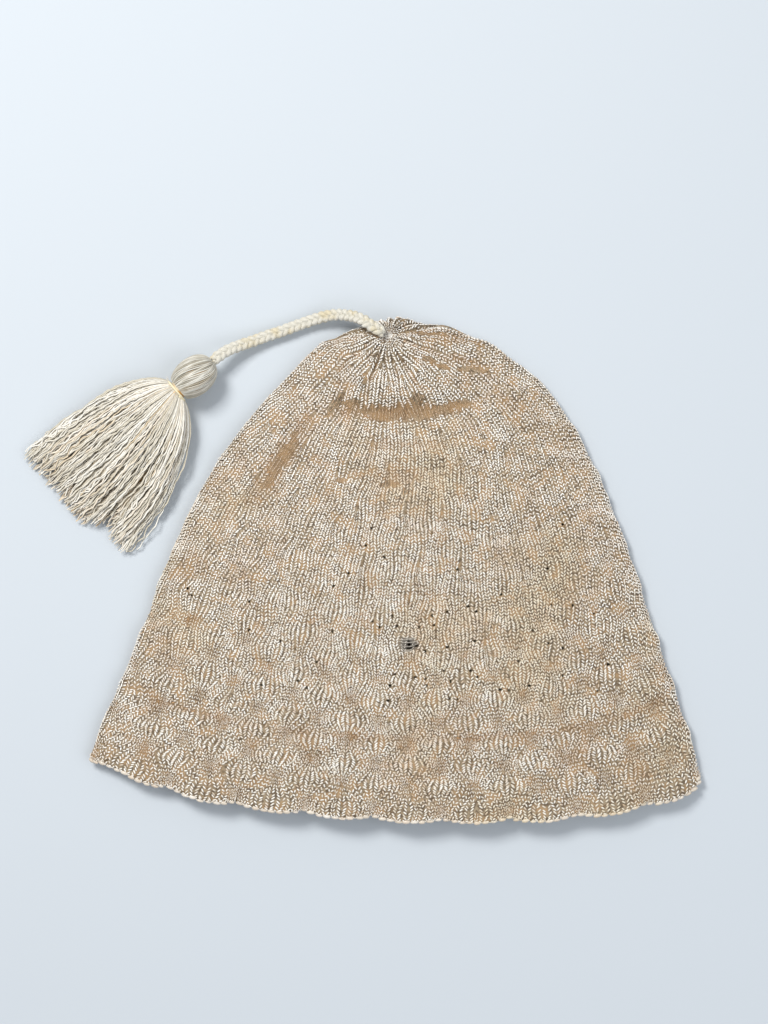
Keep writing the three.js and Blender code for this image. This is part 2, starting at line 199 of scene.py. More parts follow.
def basePoint(turn, down):
    turn, down = np.broadcast_arrays(np.asarray(turn, float), np.asarray(down, float))
    column = {name: columnAt(ringTable, name, "down", down) for name in ringTable if name != "down"}
    across = ringShare(turn)
    inward = np.maximum(1 - across * across, 0)
    half = (across + 1) / 2
    front = isFront(turn)
    thickness = mix(capShape["crownThickness"], capShape["mouthThickness"], down)
    skew = 1 + capShape["hemSkew"] * across * smooth(down, 0.5, 1)
    sag = capShape["height"] * skew * np.where(front, column["sag"], column["backSag"])
    atGather = 1 - smooth(down, 0, 0.3)
    edge = mix(capShape["sideFoldHeight"], thickness * column["edge"], atGather)
    target = thickness * np.maximum(np.where(front, column["front"], column["back"]), 0)
    backTurn = np.maximum(1 - np.sqrt(inward) / capShape["backFold"], 0)
    rise = np.where(front, inward ** capShape["foldRoundness"], 1 - backTurn ** 2)
    return np.stack([
        capShape["width"] * mix(column["leftX"], column["rightX"], half),
        capShape["height"] * mix(column["leftY"], column["rightY"], half)
        - sag * inward ** capShape["ringRoundness"],
        edge + (target - edge) * rise,
    ], axis=-1)


def baseNormal(turn, down):
    step = 0.012
    aside = basePoint(turn + step, down) - basePoint(turn - step, down)
    along = basePoint(turn, np.minimum(down + step, 1)) - basePoint(turn, np.maximum(down - step, 0.001))
    return unit(np.cross(aside, along))


def creaseLine(crease):
    t = np.linspace(0, 1, 25)[:, None]
    start, bend, end = (np.array(crease[part]) for part in ("start", "bend", "end"))
    points = (1 - t) ** 2 * start + 2 * t * (1 - t) * bend + t ** 2 * end
    ways = unit(2 * (1 - t) * (bend - start) + 2 * t * (end - bend))
    above = np.stack([-ways[:, 1], ways[:, 0]], axis=-1)
    above *= np.where(above[:, 1:] < 0, -1, 1)
    fade = np.sqrt(np.sin(math.pi * (np.arange(25) + 0.5) / 25))
    return points, above, fade


def creaseDrop(x, y, only=None):  # how far the folds press the front down
    drop = np.zeros(np.shape(x))
    for number, crease in enumerate(creaseTable):
        if only is not None and number != only:
            continue
        points, above, fade = creaseLine(crease)
        dx = x[..., None] - points[:, 0]
        dy = y[..., None] - points[:, 1]
        width = np.where(dx * above[:, 0] + dy * above[:, 1] > 0, crease["above"], crease["below"])
        drop = drop + crease["depth"] * (fade * np.exp(-(dx * dx + dy * dy) / width ** 2)).max(axis=-1)
    return drop


def pleatValley(turn, down):  # 0 on the pleats, 1 in the valleys between them
    reach = capShape["pleatReach"] / capShape["height"]
    strength = smooth(down, 0, reach * 0.2) * (1 - smooth(down, reach * 0.35, reach * 1.15))
    count = turn / 4 * capShape["pleats"]
    uneven = 0.8 + 0.2 * np.sin(2.4 * np.round(count))
    return uneven * strength * (0.5 + 0.5 * np.cos(2 * math.pi * count)) ** 1.6


def scallopDrop(turn, down):
    share = np.abs(np.cos(math.pi * (ringShare(turn) - capShape["scallopOffset"]) * capShape["scallops"] / 4))
    reach = capShape["scallopReach"] / capShape["height"]
    return capShape["scallopDepth"] * np.sqrt(share) * smooth(down, 1 - reach, 1)


fanPlan = {
    "height": 0.0205,  # two rows of fans
    "notch": 0.0026,  # how far the line between two fans curves up
    "swingDown": (0.12, 0.35, 0.60, 0.74, 0.86, 1.0),
    "swing": (0.0, 0.022, 0.036, 0.068, 0.105, 0.110),  # how far the wales swing, in shares of a fan
    "bow": 0.0055,  # how far the rows bow round the heart at a full swing
    "relief": 0.0005,
    "lumps": 0.0005,
    "uneven": 0.0005,
}

# small changes of the outline: across, up, radius, push towards the gather, lift
edgeTable = [
    (0.0032, 0.1128, 0.0070, -0.0014, 0), (0.0233, 0.1110, 0.0028, 0.0012, 0),
    (0.0315, 0.1101, 0.0045, -0.0008, 0),
    (0.0374, 0.1014, 0.0030, 0.0012, 0), (-0.0287, 0.1032, 0.0032, 0.0012, 0),
    (-0.0369, 0.0973, 0.0030, 0.0008, 0),
    (-0.0205, 0.1087, 0.0045, -0.0010, 0), (-0.0358, 0.0995, 0.0110, 0, 0.0032),
    (0.0235, 0.1085, 0.0080, 0, 0.0022),
    (0.0416, 0.1010, 0.0095, 0, 0.0024),
]


def fanAcross(turn):  # whole at the middle of each scallop of the hem, by side
    return (ringShare(turn) - capShape["scallopOffset"]) * capShape["scallops"] / 4


def fanCount():  # the same, counted once round the cap and even over the side folds
    places = np.arange(-4, 4.01, 0.25)
    turns = np.linspace(0, 2, 2001)[:-1]
    front = np.interp(places, -fanAcross(turns), turns)
    back = 2 + np.interp(places, fanAcross(turns + 2), turns)
    counts = np.arange(len(places)) / 4
    return np.concatenate([front, back, [front[0] + 4]]), np.concatenate([counts, counts + 9, [18]])


fanTurns, fanCounts = fanCount()


def fanPhase(turn):
    return 2 * math.pi * np.interp(np.mod(turn - fanTurns[0], 4) + fanTurns[0], fanTurns, fanCounts)


def fanRepeat(down):
    place = (down - 1) * capShape["height"] + fanPlan["height"] / 2 + fanPlan["notch"]
    return 2 * math.pi * place / fanPlan["height"]


def fanHeart(turn, down):  # 1 at the dense heart of a fan, -1 where it is spread
    return np.cos(fanPhase(turn)) * np.cos(fanRepeat(down)) * (
        0.35 * smooth(down, 0.22, 0.34) + 0.65 * smooth(down, 0.55, 0.78))


def knitPoint(turn, down, depth):  # the knit's surface, depth below the cap's outline
    turn, down = np.broadcast_arrays(np.asarray(turn, float), np.asarray(down, float))
    point = basePoint(turn, down)
    normal = baseNormal(turn, down)
    point = point - normal * np.asarray(depth)[..., None]
    drop = creaseDrop(point[..., 0], point[..., 1])
    point[..., 2] -= np.maximum(normal[..., 2], 0) * drop
    relief = fanPlan["lumps"] * ripple(point[..., 0], point[..., 1], 0.017, 5) * smooth(down, 0.12, 0.3)
    relief = (relief - fanPlan["relief"] * fanHeart(turn, down)) * np.where(isFront(turn), 1, 0.3)
    point = point + normal * (relief - capShape["pleatDepth"] * pleatValley(turn, down))[..., None]
    point[..., 1] += cornerLift(point[..., 0], down) - scallopDrop(turn, down)
    if np.any(down < 0.35):
        inward = unit(basePoint(1.0, 0.0)[:2] - point[..., :2])
        for across, up, radius, push, lift in edgeTable:
            near = np.exp(-((point[..., 0] - across) ** 2 + (point[..., 1] - up) ** 2) / radius ** 2)
            near = near * smooth(down, 0.01, 0.05)
            point[..., :2] += inward * (push * near)[..., None]
            point[..., 1] += lift * near
    return point


cornerRise = [(-0.1265, 0.0125, 0.0045), (-0.105, 0.012, 0.0016)]  # across, reach, how much higher


def cornerLift(x, down):  # the hem's left end lies a little higher than its sweep
    lift = sum(rise * np.exp(-((x - across) / reach) ** 2) for across, reach, rise in cornerRise)
    return lift * smooth(down, 0.86, 1)


def sheetPoint(turn, along, lift):
    # along 0-1 is the outside, then the roll at the hem, then the turned-up hem inside.
    # lift is outward from the cap's outline.
    turn, along, lift = np.broadcast_arrays(*(np.asarray(v, float) for v in (turn, along, lift)))
    roll = capShape["hemRoll"]
    rollShare = math.pi * roll / capShape["height"]
    inside = along > 1 + rollShare
    down = np.where(inside, 2 + rollShare - along, np.minimum(along, 1))
    rolling = (along > 1) & ~inside
    depth = np.where(inside, 2 * roll + lift, np.where(rolling, roll, -lift))
    point = knitPoint(turn, down, depth)
    angle = np.clip((along - 1) / rollShare, 0, 1) * math.pi
    normal = baseNormal(turn, down)
    way = unit(basePoint(turn, down) - basePoint(turn, down - 0.01))
    turned = (normal * np.cos(angle)[..., None] + way * np.sin(angle)[..., None]) * (roll + lift)[..., None]
    return point + np.where(rolling, 1, 0)[..., None] * turned


def seatOffset():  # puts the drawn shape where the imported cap_body lies
    turn, down = np.meshgrid(np.linspace(0, 4, 109), np.linspace(0.01, 1, 40))
    points = knitPoint(turn, down, np.zeros(turn.shape)).reshape(-1, 3)
    low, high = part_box("cap_body")
    middle = (points.min(0) + points.max(0)) / 2
    return np.array([(low.x + high.x) / 2 - middle[0], (low.y + high.y) / 2 - middle[1],
                     low.z - points[:, 2].min()])


seat = seatOffset()
gatherPoint = basePoint(1.0, 0.0) + seat
print("cap shape seated at", [round(float(v) * 1000, 2) for v in seat], "mm")


# meshes from rings of points, and tubes along a path

def ringFaces(rings, sides, start=0):  # faces between closed rings, one after another
    faces = []
    for low in range(start, start + (rings - 1) * sides, sides):
        high = low + sides
        for j in range(sides):
            k = (j + 1) % sides
            faces.append((low + j, low + k, high + k, high + j))
    return faces


def ringPlaces(turns, step, rows):  # places round and along for the same faces
    return [place for low, high in zip(rows, rows[1:]) for u in turns
            for place in ((u, low), (u + step, low), (u + step, high), (u, high))]


def skinMesh(name, points, faces, places=()):
    mesh = bpy.data.meshes.new(name)
    mesh.from_pydata(points.tolist(), [], faces)
    if places:
        mesh.uv_layers.new(name="along").data.foreach_set("uv", np.array(places, np.float32).ravel())
    mesh.polygons.foreach_set("use_smooth", [True] * len(mesh.polygons))
    mesh.update()
    return mesh


def lengthsAlong(path):
    return np.concatenate([[0], np.cumsum(np.linalg.norm(np.diff(path, axis=0), axis=1))])


def evenly(path, count):
    length = lengthsAlong(path)
    places = np.linspace(0, length[-1], count)
    return np.stack([np.interp(places, length, path[:, axis]) for axis in range(3)], axis=-1), length[-1]


def pathFrames(path):  # sideways and upward at each point
    ways = unit(np.gradient(path, axis=0))
    aside = unit(np.cross(ways, [0, 0, 1.0]))
    return aside, np.cross(aside, ways)


def tubeMesh(name, tubes, sides):  # tubes: list of (path, radius per point and side)
    points, faces, places = [], [], []
    turn = 2 * math.pi * np.arange(sides) / sides
    for path, radius in tubes:
        start = sum(len(p) for p in points)
        aside, over = pathFrames(path)
        ring = path[:, None] + radius[..., None] * (
            aside[:, None] * np.cos(turn)[None, :, None] + over[:, None] * np.sin(turn)[None, :, None])
        points += [ring.reshape(-1, 3), path[[0, -1]]]
        length = lengthsAlong(path)
        faces += ringFaces(len(path), sides, start)
        places += ringPlaces(np.arange(sides) / sides, 1 / sides, length)
        ends = start + len(path) * sides
        for j in range(sides):
            k = (j + 1) % sides
            faces += [(ends, start + k, start + j), (ends + 1, ends - sides + j, ends - sides + k)]
            places += [(0.5, length[0])] * 3 + [(0.5, length[-1])] * 3
    return skinMesh(name, np.concatenate(points), faces, places)


def smoothRoute(points, perStretch):  # a centripetal curve through the points
    knots = np.cumsum([0.0] + [math.sqrt(np.linalg.norm(b - a)) for a, b in zip(points, points[1:])])
    slopes = slopesOf(points, knots[:, None])
    route = []
    for i in range(len(points) - 1):
        for s in np.linspace(0, 1, perStretch, endpoint=False):
            route.append(between(points, slopes, i, knots[i + 1] - knots[i], s))
    return np.array(route + [points[-1]])


# materials: aged silk, bright on the yarn, with painted shade brown in the hollows

def addNode(tree, kind, feed=None, **settings):  # feed: a value or another node's output for each input
    node = tree.nodes.new(kind)
    for key, value in settings.items():
        setattr(node, key, value)
    for socket, value in (feed or {}).items():
        if isinstance(value, bpy.types.NodeSocket):
            tree.links.new(value, node.inputs[socket])
        else:
            node.inputs[socket].default_value = value
    return node


def shadeTree(name, roughness, sheen):
    material = bpy.data.materials.new(name)
    material.use_nodes = True
    shader = material.node_tree.nodes["Principled BSDF"]
    for label, value in (("Roughness", roughness), ("Sheen Weight", sheen), ("Sheen Roughness", 0.4)):
        shader.inputs[label].default_value = value
    return material, material.node_tree, shader


def mixColour(tree, share, first, second):
    return addNode(tree, "ShaderNodeMix", {0: share, 6: first, 7: second}, data_type="RGBA").outputs[2]


def noiseOn(tree, scale, detail=3.0):
    place = addNode(tree, "ShaderNodeTexCoord").outputs["Object"]
    noise = addNode(tree, "ShaderNodeTexNoise", {"Scale": scale, "Detail": detail, "Vector": place})
    return noise.outputs["Fac"]


def ramped(tree, value, low, high, bottom=0.0, top=1.0):
    feed = {"Value": value, "From Min": low, "From Max": high, "To Min": bottom, "To Max": top}
    return addNode(tree, "ShaderNodeMapRange", feed, interpolation_type="SMOOTHSTEP").outputs["Result"]


def attributeOf(tree, name):
    return addNode(tree, "ShaderNodeAttribute", attribute_name=name).outputs["Fac"]


def paint(tree, shader, colour, layers=()):  # layers: how much, and which colour over the last
    for share, over in layers:
        colour = mixColour(tree, share, colour, over)
    tree.links.new(colour, shader.inputs["Base Color"])


def relieve(tree, shader, height, strength, distance):
    bump = addNode(tree, "ShaderNodeBump", {"Height": height, "Strength": strength, "Distance": distance})
    tree.links.new(bump.outputs["Normal"], shader.inputs["Normal"])


knitColours = {
    "bright": srgb(253, 250, 243),
    "shade": srgb(222, 211, 193),
    "ageAndShade": srgb(188, 148, 104),
    "yellow": srgb(224, 204, 156),
    "rose": srgb(222, 190, 162),
    "worn": srgb(178, 172, 163),
    # the hollow colours are painted shade for the ground seen between the stitches
    "hollow": srgb(154, 137, 111),
    "peach": srgb(170, 139, 100),
    "hollowAge": srgb(140, 108, 68),
    "deepHollowShade": srgb(98, 82, 61),
    "hollowWorn": srgb(104, 98, 90),
}


def stitchSilk():
    material, tree, shader = shadeTree("stitchSilk", 0.27, 0.15)
    colour = mixColour(tree, attributeOf(tree, "tone"), knitColours["shade"], knitColours["bright"])
    paint(tree, shader, colour, [
        (ramped(tree, noiseOn(tree, 22), 0.5, 0.72, 0, 0.36), knitColours["yellow"]),
        (ramped(tree, noiseOn(tree, 37), 0.52, 0.74, 0, 0.28), knitColours["rose"]),
        (attributeOf(tree, "ageAndShade"), knitColours["ageAndShade"]),
        (attributeOf(tree, "worn"), knitColours["worn"]),
    ])
    relieve(tree, shader, noiseOn(tree, 2600, 2), 0.25, 0.0001)
    return material


def hollowSilk():
    # the ground's browns are painted shade between the stitch legs, darker in the deeper gaps
    material, tree, shader = shadeTree("hollowSilk", 0.62, 0.1)
    fine = ramped(tree, noiseOn(tree, 620, 2), 0.36, 0.62)
    paint(tree, shader, mixColour(tree, fine, knitColours["deepHollowShade"], knitColours["hollow"]), [
        (ramped(tree, noiseOn(tree, 170, 2), 0.48, 0.66, 0, 0.75), knitColours["peach"]),
        (attributeOf(tree, "ageAndShade"), knitColours["hollowAge"]),
        (attributeOf(tree, "worn"), knitColours["hollowWorn"]),
    ])
    place = addNode(tree, "ShaderNodeUVMap", uv_map="along").outputs["UV"]
    rib = addNode(tree, "ShaderNodeTexWave", {"Scale": 16, "Distortion": 1.5, "Vector": place},
                  wave_type="BANDS", bands_direction="X")
    relieve(tree, shader, rib.outputs["Fac"], 0.5, 0.0004)
    return material


yarnColours = {
    "bright": srgb(240, 238, 228),
    "shade": srgb(204, 197, 178),
    "gold": srgb(232, 186, 112),
    "yellow": srgb(214, 194, 140),
}


def maths(tree, operation, first, second=0.0):
    return addNode(tree, "ShaderNodeMath", {0: first, 1: second}, operation=operation).outputs[0]


def yarnSilk(name, twists, lean):  # twisted silk: fine lines run round the yarn, painted darker in the grooves between the plies and lighter on their crests
    material, tree, shader = shadeTree(name, 0.34, 0.15)
    place = addNode(tree, "ShaderNodeUVMap", uv_map="along").outputs["UV"]
    turn = addNode(tree, "ShaderNodeMapping", {"Scale": (1, lean, 1), "Vector": place}).outputs["Vector"]
    split = addNode(tree, "ShaderNodeSeparateXYZ", {"Vector": turn}).outputs
    turns = maths(tree, "MULTIPLY", maths(tree, "ADD", split["X"], split["Y"]), 2 * math.pi * twists)
    twist = ramped(tree, maths(tree, "SINE", turns), -1, 1)
    paint(tree, shader, mixColour(tree, twist, yarnColours["shade"], yarnColours["bright"]), [
        (ramped(tree, noiseOn(tree, 140), 0.46, 0.66, 0, 0.5), yarnColours["yellow"]),
    ])
    relieve(tree, shader, twist, 0.6, 0.00015)
    return material


# the cord: three strands plaited along the route from the gather to the tassel

cordPlan = {
    "diameter": 0.0055,
    "seatGap": 0.0003,
    "headAxis": 0.0091,
    "strandRadius": 0.00128,
    "spread": 0.00147,
    "rise": 0.00075,
    "pitch": 0.0086,
    "plies": 3,
    "plyTwist": 0.0052,
    "sides": 14,
    "route": [  # across and up from the gather, how far it is lifted by the cap and by the tassel's head
        (-0.0023, 0.0007, 1.02, 0), (-0.0050, 0.0021, 1.05, 0), (-0.0082, 0.0041, 1.03, 0),
        (-0.0128, 0.0071, 0.87, 0), (-0.0180, 0.0089, 0.57, 0), (-0.0244, 0.0096, 0.26, 0),
        (-0.0315, 0.0084, 0.08, 0), (-0.0378, 0.0064, 0, 0), (-0.0447, 0.0039, 0, 0),
        (-0.0506, 0.0018, 0, 0), (-0.0561, 0.0, 0, 0.02), (-0.0616, -0.0021, 0, 0.11),
        (-0.0670, -0.0040, 0, 0.34), (-0.0725, -0.0063, 0, 0.66), (-0.0764, -0.0087, 0, 0.9),
        (-0.0798, -0.0115, 0, 1),
    ],
}


def cordRoute():
    low = cordPlan["diameter"] / 2 + cordPlan["seatGap"]
    rise = gatherPoint[2] - seat[2]
    points = [(gatherPoint[0] + across, gatherPoint[1] + up,
               seat[2] + low + onCap * rise + onTassel * (cordPlan["headAxis"] - low))
              for across, up, onCap, onTassel in cordPlan["route"]]
    return np.array(points)


def braidStrands(route):
    path, length = evenly(smoothRoute(route, 12), 260)
    aside, over = pathFrames(path)
    travelled = np.linspace(0, length, len(path))
    turn = 2 * math.pi * np.arange(cordPlan["sides"]) / cordPlan["sides"]
    ply = np.cos(cordPlan["plies"] * (turn[None] - 2 * math.pi * travelled[:, None] / cordPlan["plyTwist"]))
    ends = 1 - 0.25 * smooth(travelled, length - 0.002, length) - 0.30 * (1 - smooth(travelled, 0, 0.003))
    tubes = []
    for strand in range(3):
        angle = 2 * math.pi * (travelled / cordPlan["pitch"] + strand / 3)
        line = path + aside * (cordPlan["spread"] * np.sin(angle))[:, None]
        line = line + over * (cordPlan["rise"] * np.sin(2 * angle))[:, None]
        tubes.append((line, cordPlan["strandRadius"] * (1 + 0.09 * ply) * ends[:, None]))
    return tubes, path, length


braidSilk = yarnSilk("braidSilk", 9, 900)
routePoints = cordRoute()
strands, cordPath, cordLength = braidStrands(routePoints)
braid = newPiece("braidedCord", tubeMesh("braidedCord", strands, cordPlan["sides"]), braidSilk)
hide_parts("braided_cord")
print("cord laid,", round(cordLength * 1000, 1), "mm long")


# Geometry Nodes: trees shared by the stitches and the loose yarns

legInputs = {"Leg width": 1.0, "Leg length": 1.0, "Leg thickness": 1.0, "Sides": 3, "Rings": 3,
             "Unevenness": 0.1, "Seed": 4}
yarnInputs = {"Sides": 5, "Thickness": 1.0}


def newTree(name, inputs):
    tree = bpy.data.node_groups.new(name, "GeometryNodeTree")
    tree.interface.new_socket("Geometry", in_out="INPUT", socket_type="NodeSocketGeometry")
    for label, value in inputs.items():
        kind = "NodeSocketInt" if isinstance(value, int) else "NodeSocketFloat"
        tree.interface.new_socket(label, in_out="INPUT", socket_type=kind).default_value = value
    tree.interface.new_socket("Geometry", in_out="OUTPUT", socket_type="NodeSocketGeometry")
    return tree, addNode(tree, "NodeGroupInput").outputs


def named(tree, attribute, kind="FLOAT_VECTOR"):
    node = addNode(tree, "GeometryNodeInputNamedAttribute", {"Name": attribute}, data_type=kind)
    return node.outputs["Attribute"]


def finishTree(tree, geometry, material):
    real = addNode(tree, "GeometryNodeRealizeInstances", {"Geometry": geometry}).outputs["Geometry"]
    smoothed = addNode(tree, "GeometryNodeSetShadeSmooth", {"Geometry": real}).outputs["Geometry"]
    painted = addNode(tree, "GeometryNodeSetMaterial", {"Geometry": smoothed, "Material": material})
    addNode(tree, "NodeGroupOutput", {"Geometry": painted.outputs["Geometry"]})
    return tree


def stitchTree(material):  # one leg of a stitch on each point
    tree, given = newTree("knitStitches", legInputs)
    leg = addNode(tree, "GeometryNodeMeshUVSphere",
                  {"Radius": 0.5, "Segments": given["Sides"], "Rings": given["Rings"]})
    laid = addNode(tree, "GeometryNodeTransform",
                   {"Rotation": (math.pi / 2, -math.pi / 2, 0), "Geometry": leg.outputs["Mesh"]})
    stand = addNode(tree, "FunctionNodeAlignRotationToVector", {"Vector": named(tree, "legUp")},
                    axis="Z", pivot_axis="AUTO")
    point = addNode(tree, "FunctionNodeAlignRotationToVector",
                    {"Rotation": stand.outputs["Rotation"], "Vector": named(tree, "legAlong")},
                    axis="Y", pivot_axis="Z")
    uneven = addNode(tree, "FunctionNodeRandomValue", {
        2: maths(tree, "SUBTRACT", 1.0, given["Unevenness"]),
        3: maths(tree, "ADD", 1.0, given["Unevenness"]),
        "Seed": given["Seed"],
    }, data_type="FLOAT")
    size = addNode(tree, "ShaderNodeSeparateXYZ", {"Vector": named(tree, "legSize")}).outputs
    long = maths(tree, "MULTIPLY", size["Y"], given["Leg length"])
    scaled = addNode(tree, "ShaderNodeCombineXYZ", {
        "X": maths(tree, "MULTIPLY", size["X"], given["Leg width"]),
        "Y": maths(tree, "MULTIPLY", long, uneven.outputs[1]),
        "Z": maths(tree, "MULTIPLY", size["Z"], given["Leg thickness"]),
    })
    placed = addNode(tree, "GeometryNodeInstanceOnPoints", {
        "Points": given["Geometry"],
        "Instance": laid.outputs["Geometry"],
        "Rotation": point.outputs["Rotation"],
        "Scale": scaled.outputs["Vector"],
    })
    return finishTree(tree, placed.outputs["Instances"], material)


def yarnTree(material):  # a round yarn along each line of edges
    tree, given = newTree("looseYarns", yarnInputs)
    line = addNode(tree, "GeometryNodeMeshToCurve", {"Mesh": given["Geometry"]})
    radius = maths(tree, "MULTIPLY", named(tree, "yarnRadius", "FLOAT"), given["Thickness"])
    thick = addNode(tree, "GeometryNodeSetCurveRadius", {"Curve": line.outputs["Curve"], "Radius": radius})
    section = addNode(tree, "GeometryNodeCurvePrimitiveCircle", {"Radius": 1.0, "Resolution": given["Sides"]})
    tube = addNode(tree, "GeometryNodeCurveToMesh", {
        "Fill Caps": True,
        "Curve": thick.outputs["Curve"],
        "Profile Curve": section.outputs["Curve"],
    })
    if "Scale" in tube.inputs:
        tree.links.new(addNode(tree, "GeometryNodeInputRadius").outputs["Radius"], tube.inputs["Scale"])
    return finishTree(tree, tube.outputs["Mesh"], material)


def setAttributes(mesh, columns):  # a number or a vector for each point
    for name, values in columns.items():
        values = np.asarray(values, np.float32)
        kind, field = ("FLOAT_VECTOR", "vector") if values.ndim == 2 else ("FLOAT", "value")
        mesh.attributes.new(name, kind, "POINT").data.foreach_set(field, values.ravel())


def grow(name, mesh, tree, values, slotName, dropped=()):
    seed = bpy.data.objects.new(name + "Seed", mesh)
    scene.collection.objects.link(seed)
    modifier = seed.modifiers.new("grow", "NODES")
    modifier.node_group = tree
    for item in tree.interface.items_tree:
        if item.in_out == "INPUT" and item.name in values:
            modifier[item.identifier] = values[item.name]
    graph = bpy.context.evaluated_depsgraph_get()
    made = bpy.data.meshes.new_from_object(seed.evaluated_get(graph), depsgraph=graph)
    made.name = name
    seed.modifiers.clear()
    bpy.data.objects.remove(seed)
    for attribute in dropped:
        if attribute in made.attributes:
            made.attributes.remove(made.attributes[attribute])
    print(name, "has", sum(len(p.vertices) - 2 for p in made.polygons), "triangles")
    return newPiece(name, made, None)


# where the knit is stained, worn or gone, and where shade is painted into its folds, pleat valleys and bare
# patches

wearAndShade = {
    "eyelets": [  # across and up, in metres
        (-0.0283, -0.0287), (-0.0356, -0.0424), (-0.0401, -0.0543), (-0.0606, -0.0529), (-0.0023, -0.0529),
        (-0.0032, -0.0597), (0.0246, -0.0588), (0.0283, -0.0593), (0.0137, -0.0374), (0.0237, -0.0356),
        (0.0360, -0.0328), (0.0237, -0.0196), (0.0369, -0.0196), (0.0283, -0.0005), (0.0, -0.0479),
        (0.0342, -0.0465), (0.0251, -0.0511), (-0.0438, -0.0511), (-0.0100, -0.0240), (-0.0520, -0.0330),
        (0.0560, -0.0420), (0.0480, -0.0120), (-0.0210, -0.0020), (-0.0660, -0.0150),
        (-0.0106, 0.0182), (-0.0132, 0.0103), (-0.0049, 0.0051), (-0.0279, -0.0080), (0.0692, -0.0003),
        (0.0760, 0.0198), (0.0332, -0.0173), (0.0709, -0.0166), (0.0806, -0.0170), (0.0903, -0.0208),
        (-0.0663, -0.0281), (0.0623, -0.0281), (0.0696, -0.0340), (0.0762, -0.0362), (0.0373, -0.0490),
        (0.0092, -0.0492), (0.0137, -0.0500), (0.0143, -0.0530), (0.0606, -0.0532), (0.0514, -0.0551),
        (0.0478, -0.0547), (0.0920, -0.0557), (0.0969, -0.0438), (0.0762, -0.0486), (-0.0923, -0.0125),
        (-0.0942, -0.0093), (0.0167, -0.0214), (0.0176, -0.0257), (-0.0012, -0.0215), (-0.0070, -0.0267),
        (0.0010, -0.0261), (0.0109, -0.0267), (0.0221, -0.0464),
    ],
    "eyeletRadius": 0.00062,
    "wornHole": (0.0059, -0.0342),
    "wornWidth": 0.0090,
    "wornHeight": 0.0062,
    "gaps": [  # across and up from the middle, length, height
        (0.0004, -0.0003, 0.0022, 0.0014), (0.0006, -0.0020, 0.0025, 0.0013), (0.0037, -0.0008, 0.0020, 0.0012),
        (0.0003, 0.0013, 0.0012, 0.0009),
    ],
    "strandHeights": [0.0027, 0.0020, 0.0007, -0.0012, -0.0029, -0.0034],
    "barePatches": [  # across, up, half length, half height, lean
        (0.0100, 0.0764, 0.0032, 0.0034, 0.0), (0.0300, 0.0746, 0.0052, 0.0020, 0.1),
        (-0.0272, 0.0742, 0.0066, 0.0017, 0.9), (0.0356, 0.0900, 0.0078, 0.0013, -0.14),
        (-0.0200, 0.0748, 0.0050, 0.0016, 0.1), (-0.0025, 0.0381, 0.0046, 0.0015, 0.05),
        (-0.0246, 0.0399, 0.0027, 0.0011, -0.1), (0.0050, 0.0347, 0.0023, 0.0011, 0.0),
        (0.0153, 0.0946, 0.0030, 0.0014, -0.3), (0.0223, 0.0912, 0.0030, 0.0014, -0.2),
        (0.0148, 0.1063, 0.0062, 0.0007, -0.05), (-0.0105, 0.1067, 0.0042, 0.0012, -0.6),
    ],
    "lineShade": 0.34,  # painted shade along the top of the turned-up hem
    "lineWidth": 0.009,
    "mottle": 0.10,
    "heartDarkening": 0.26,
    "spreadLightening": 0.05,
    "valleyShade": 0.30,
    "spots": [  # across, up, radius, strength
        (-0.0935, -0.0237, 0.0019, 0.9), (-0.0385, -0.0770, 0.0060, 0.20), (-0.0420, -0.0800, 0.0040, 0.15),
        (0.0840, -0.0830, 0.0085, 0.28), (0.1080, -0.0860, 0.0050, 0.28), (0.1120, -0.0930, 0.0045, 0.28),
        (-0.0900, 0.0030, 0.0060, 0.3), (0.0180, -0.0930, 0.0050, 0.3), (-0.1140, -0.0850, 0.0050, 0.3),
        (0.0109, 0.0762, 0.0014, 0.6), (0.0260, 0.0743, 0.0014, 0.6), (-0.0228, 0.0707, 0.0015, 0.6),
    ],
}


# real stains and mottling, with painted shade in the folds, the pleat valleys and along the hem's facing
def frontAgeAndShade(x, y, down, turn):
    front = isFront(turn)
    facingTop = 1 - capShape["facingHeight"] / capShape["height"]
    # a painted shade line along the top of the turned-up hem
    line = np.exp(-((down - facingTop) / wearAndShade["lineWidth"]) ** 2)
    ageAndShade = line * (wearAndShade["lineShade"] + 0.16 * ripple(x, y, 0.04, 11))
    for across, up, radius, strength in wearAndShade["spots"]:
        ageAndShade = ageAndShade + strength * np.exp(-((x - across) ** 2 + (y - up) ** 2) / radius ** 2) * front
    ageAndShade = ageAndShade + wearAndShade["mottle"] * np.clip(ripple(x, y * 0.6, 0.03, 3), 0, 1)
    # browner at the dense hearts of the fans, lighter where the wales spread
    heart = fanHeart(turn, down)
    ageAndShade = ageAndShade + wearAndShade["heartDarkening"] * np.maximum(heart, 0) ** 2 - wearAndShade["spreadLightening"] * np.maximum(-heart, 0)
    # painted shade in the valleys between the pleats
    ageAndShade = ageAndShade + wearAndShade["valleyShade"] * smooth(pleatValley(turn, down), 0.45, 1.0) * front
    # painted shade darkens each fold
    for number, crease in enumerate(creaseTable):
        drop = creaseDrop(x - seat[0], y - seat[1], only=number) / crease["depth"]
        ageAndShade = ageAndShade + crease["foldShade"] * smooth(drop, 0.45, 1.0) * front
    return np.clip(ageAndShade, 0, 1)


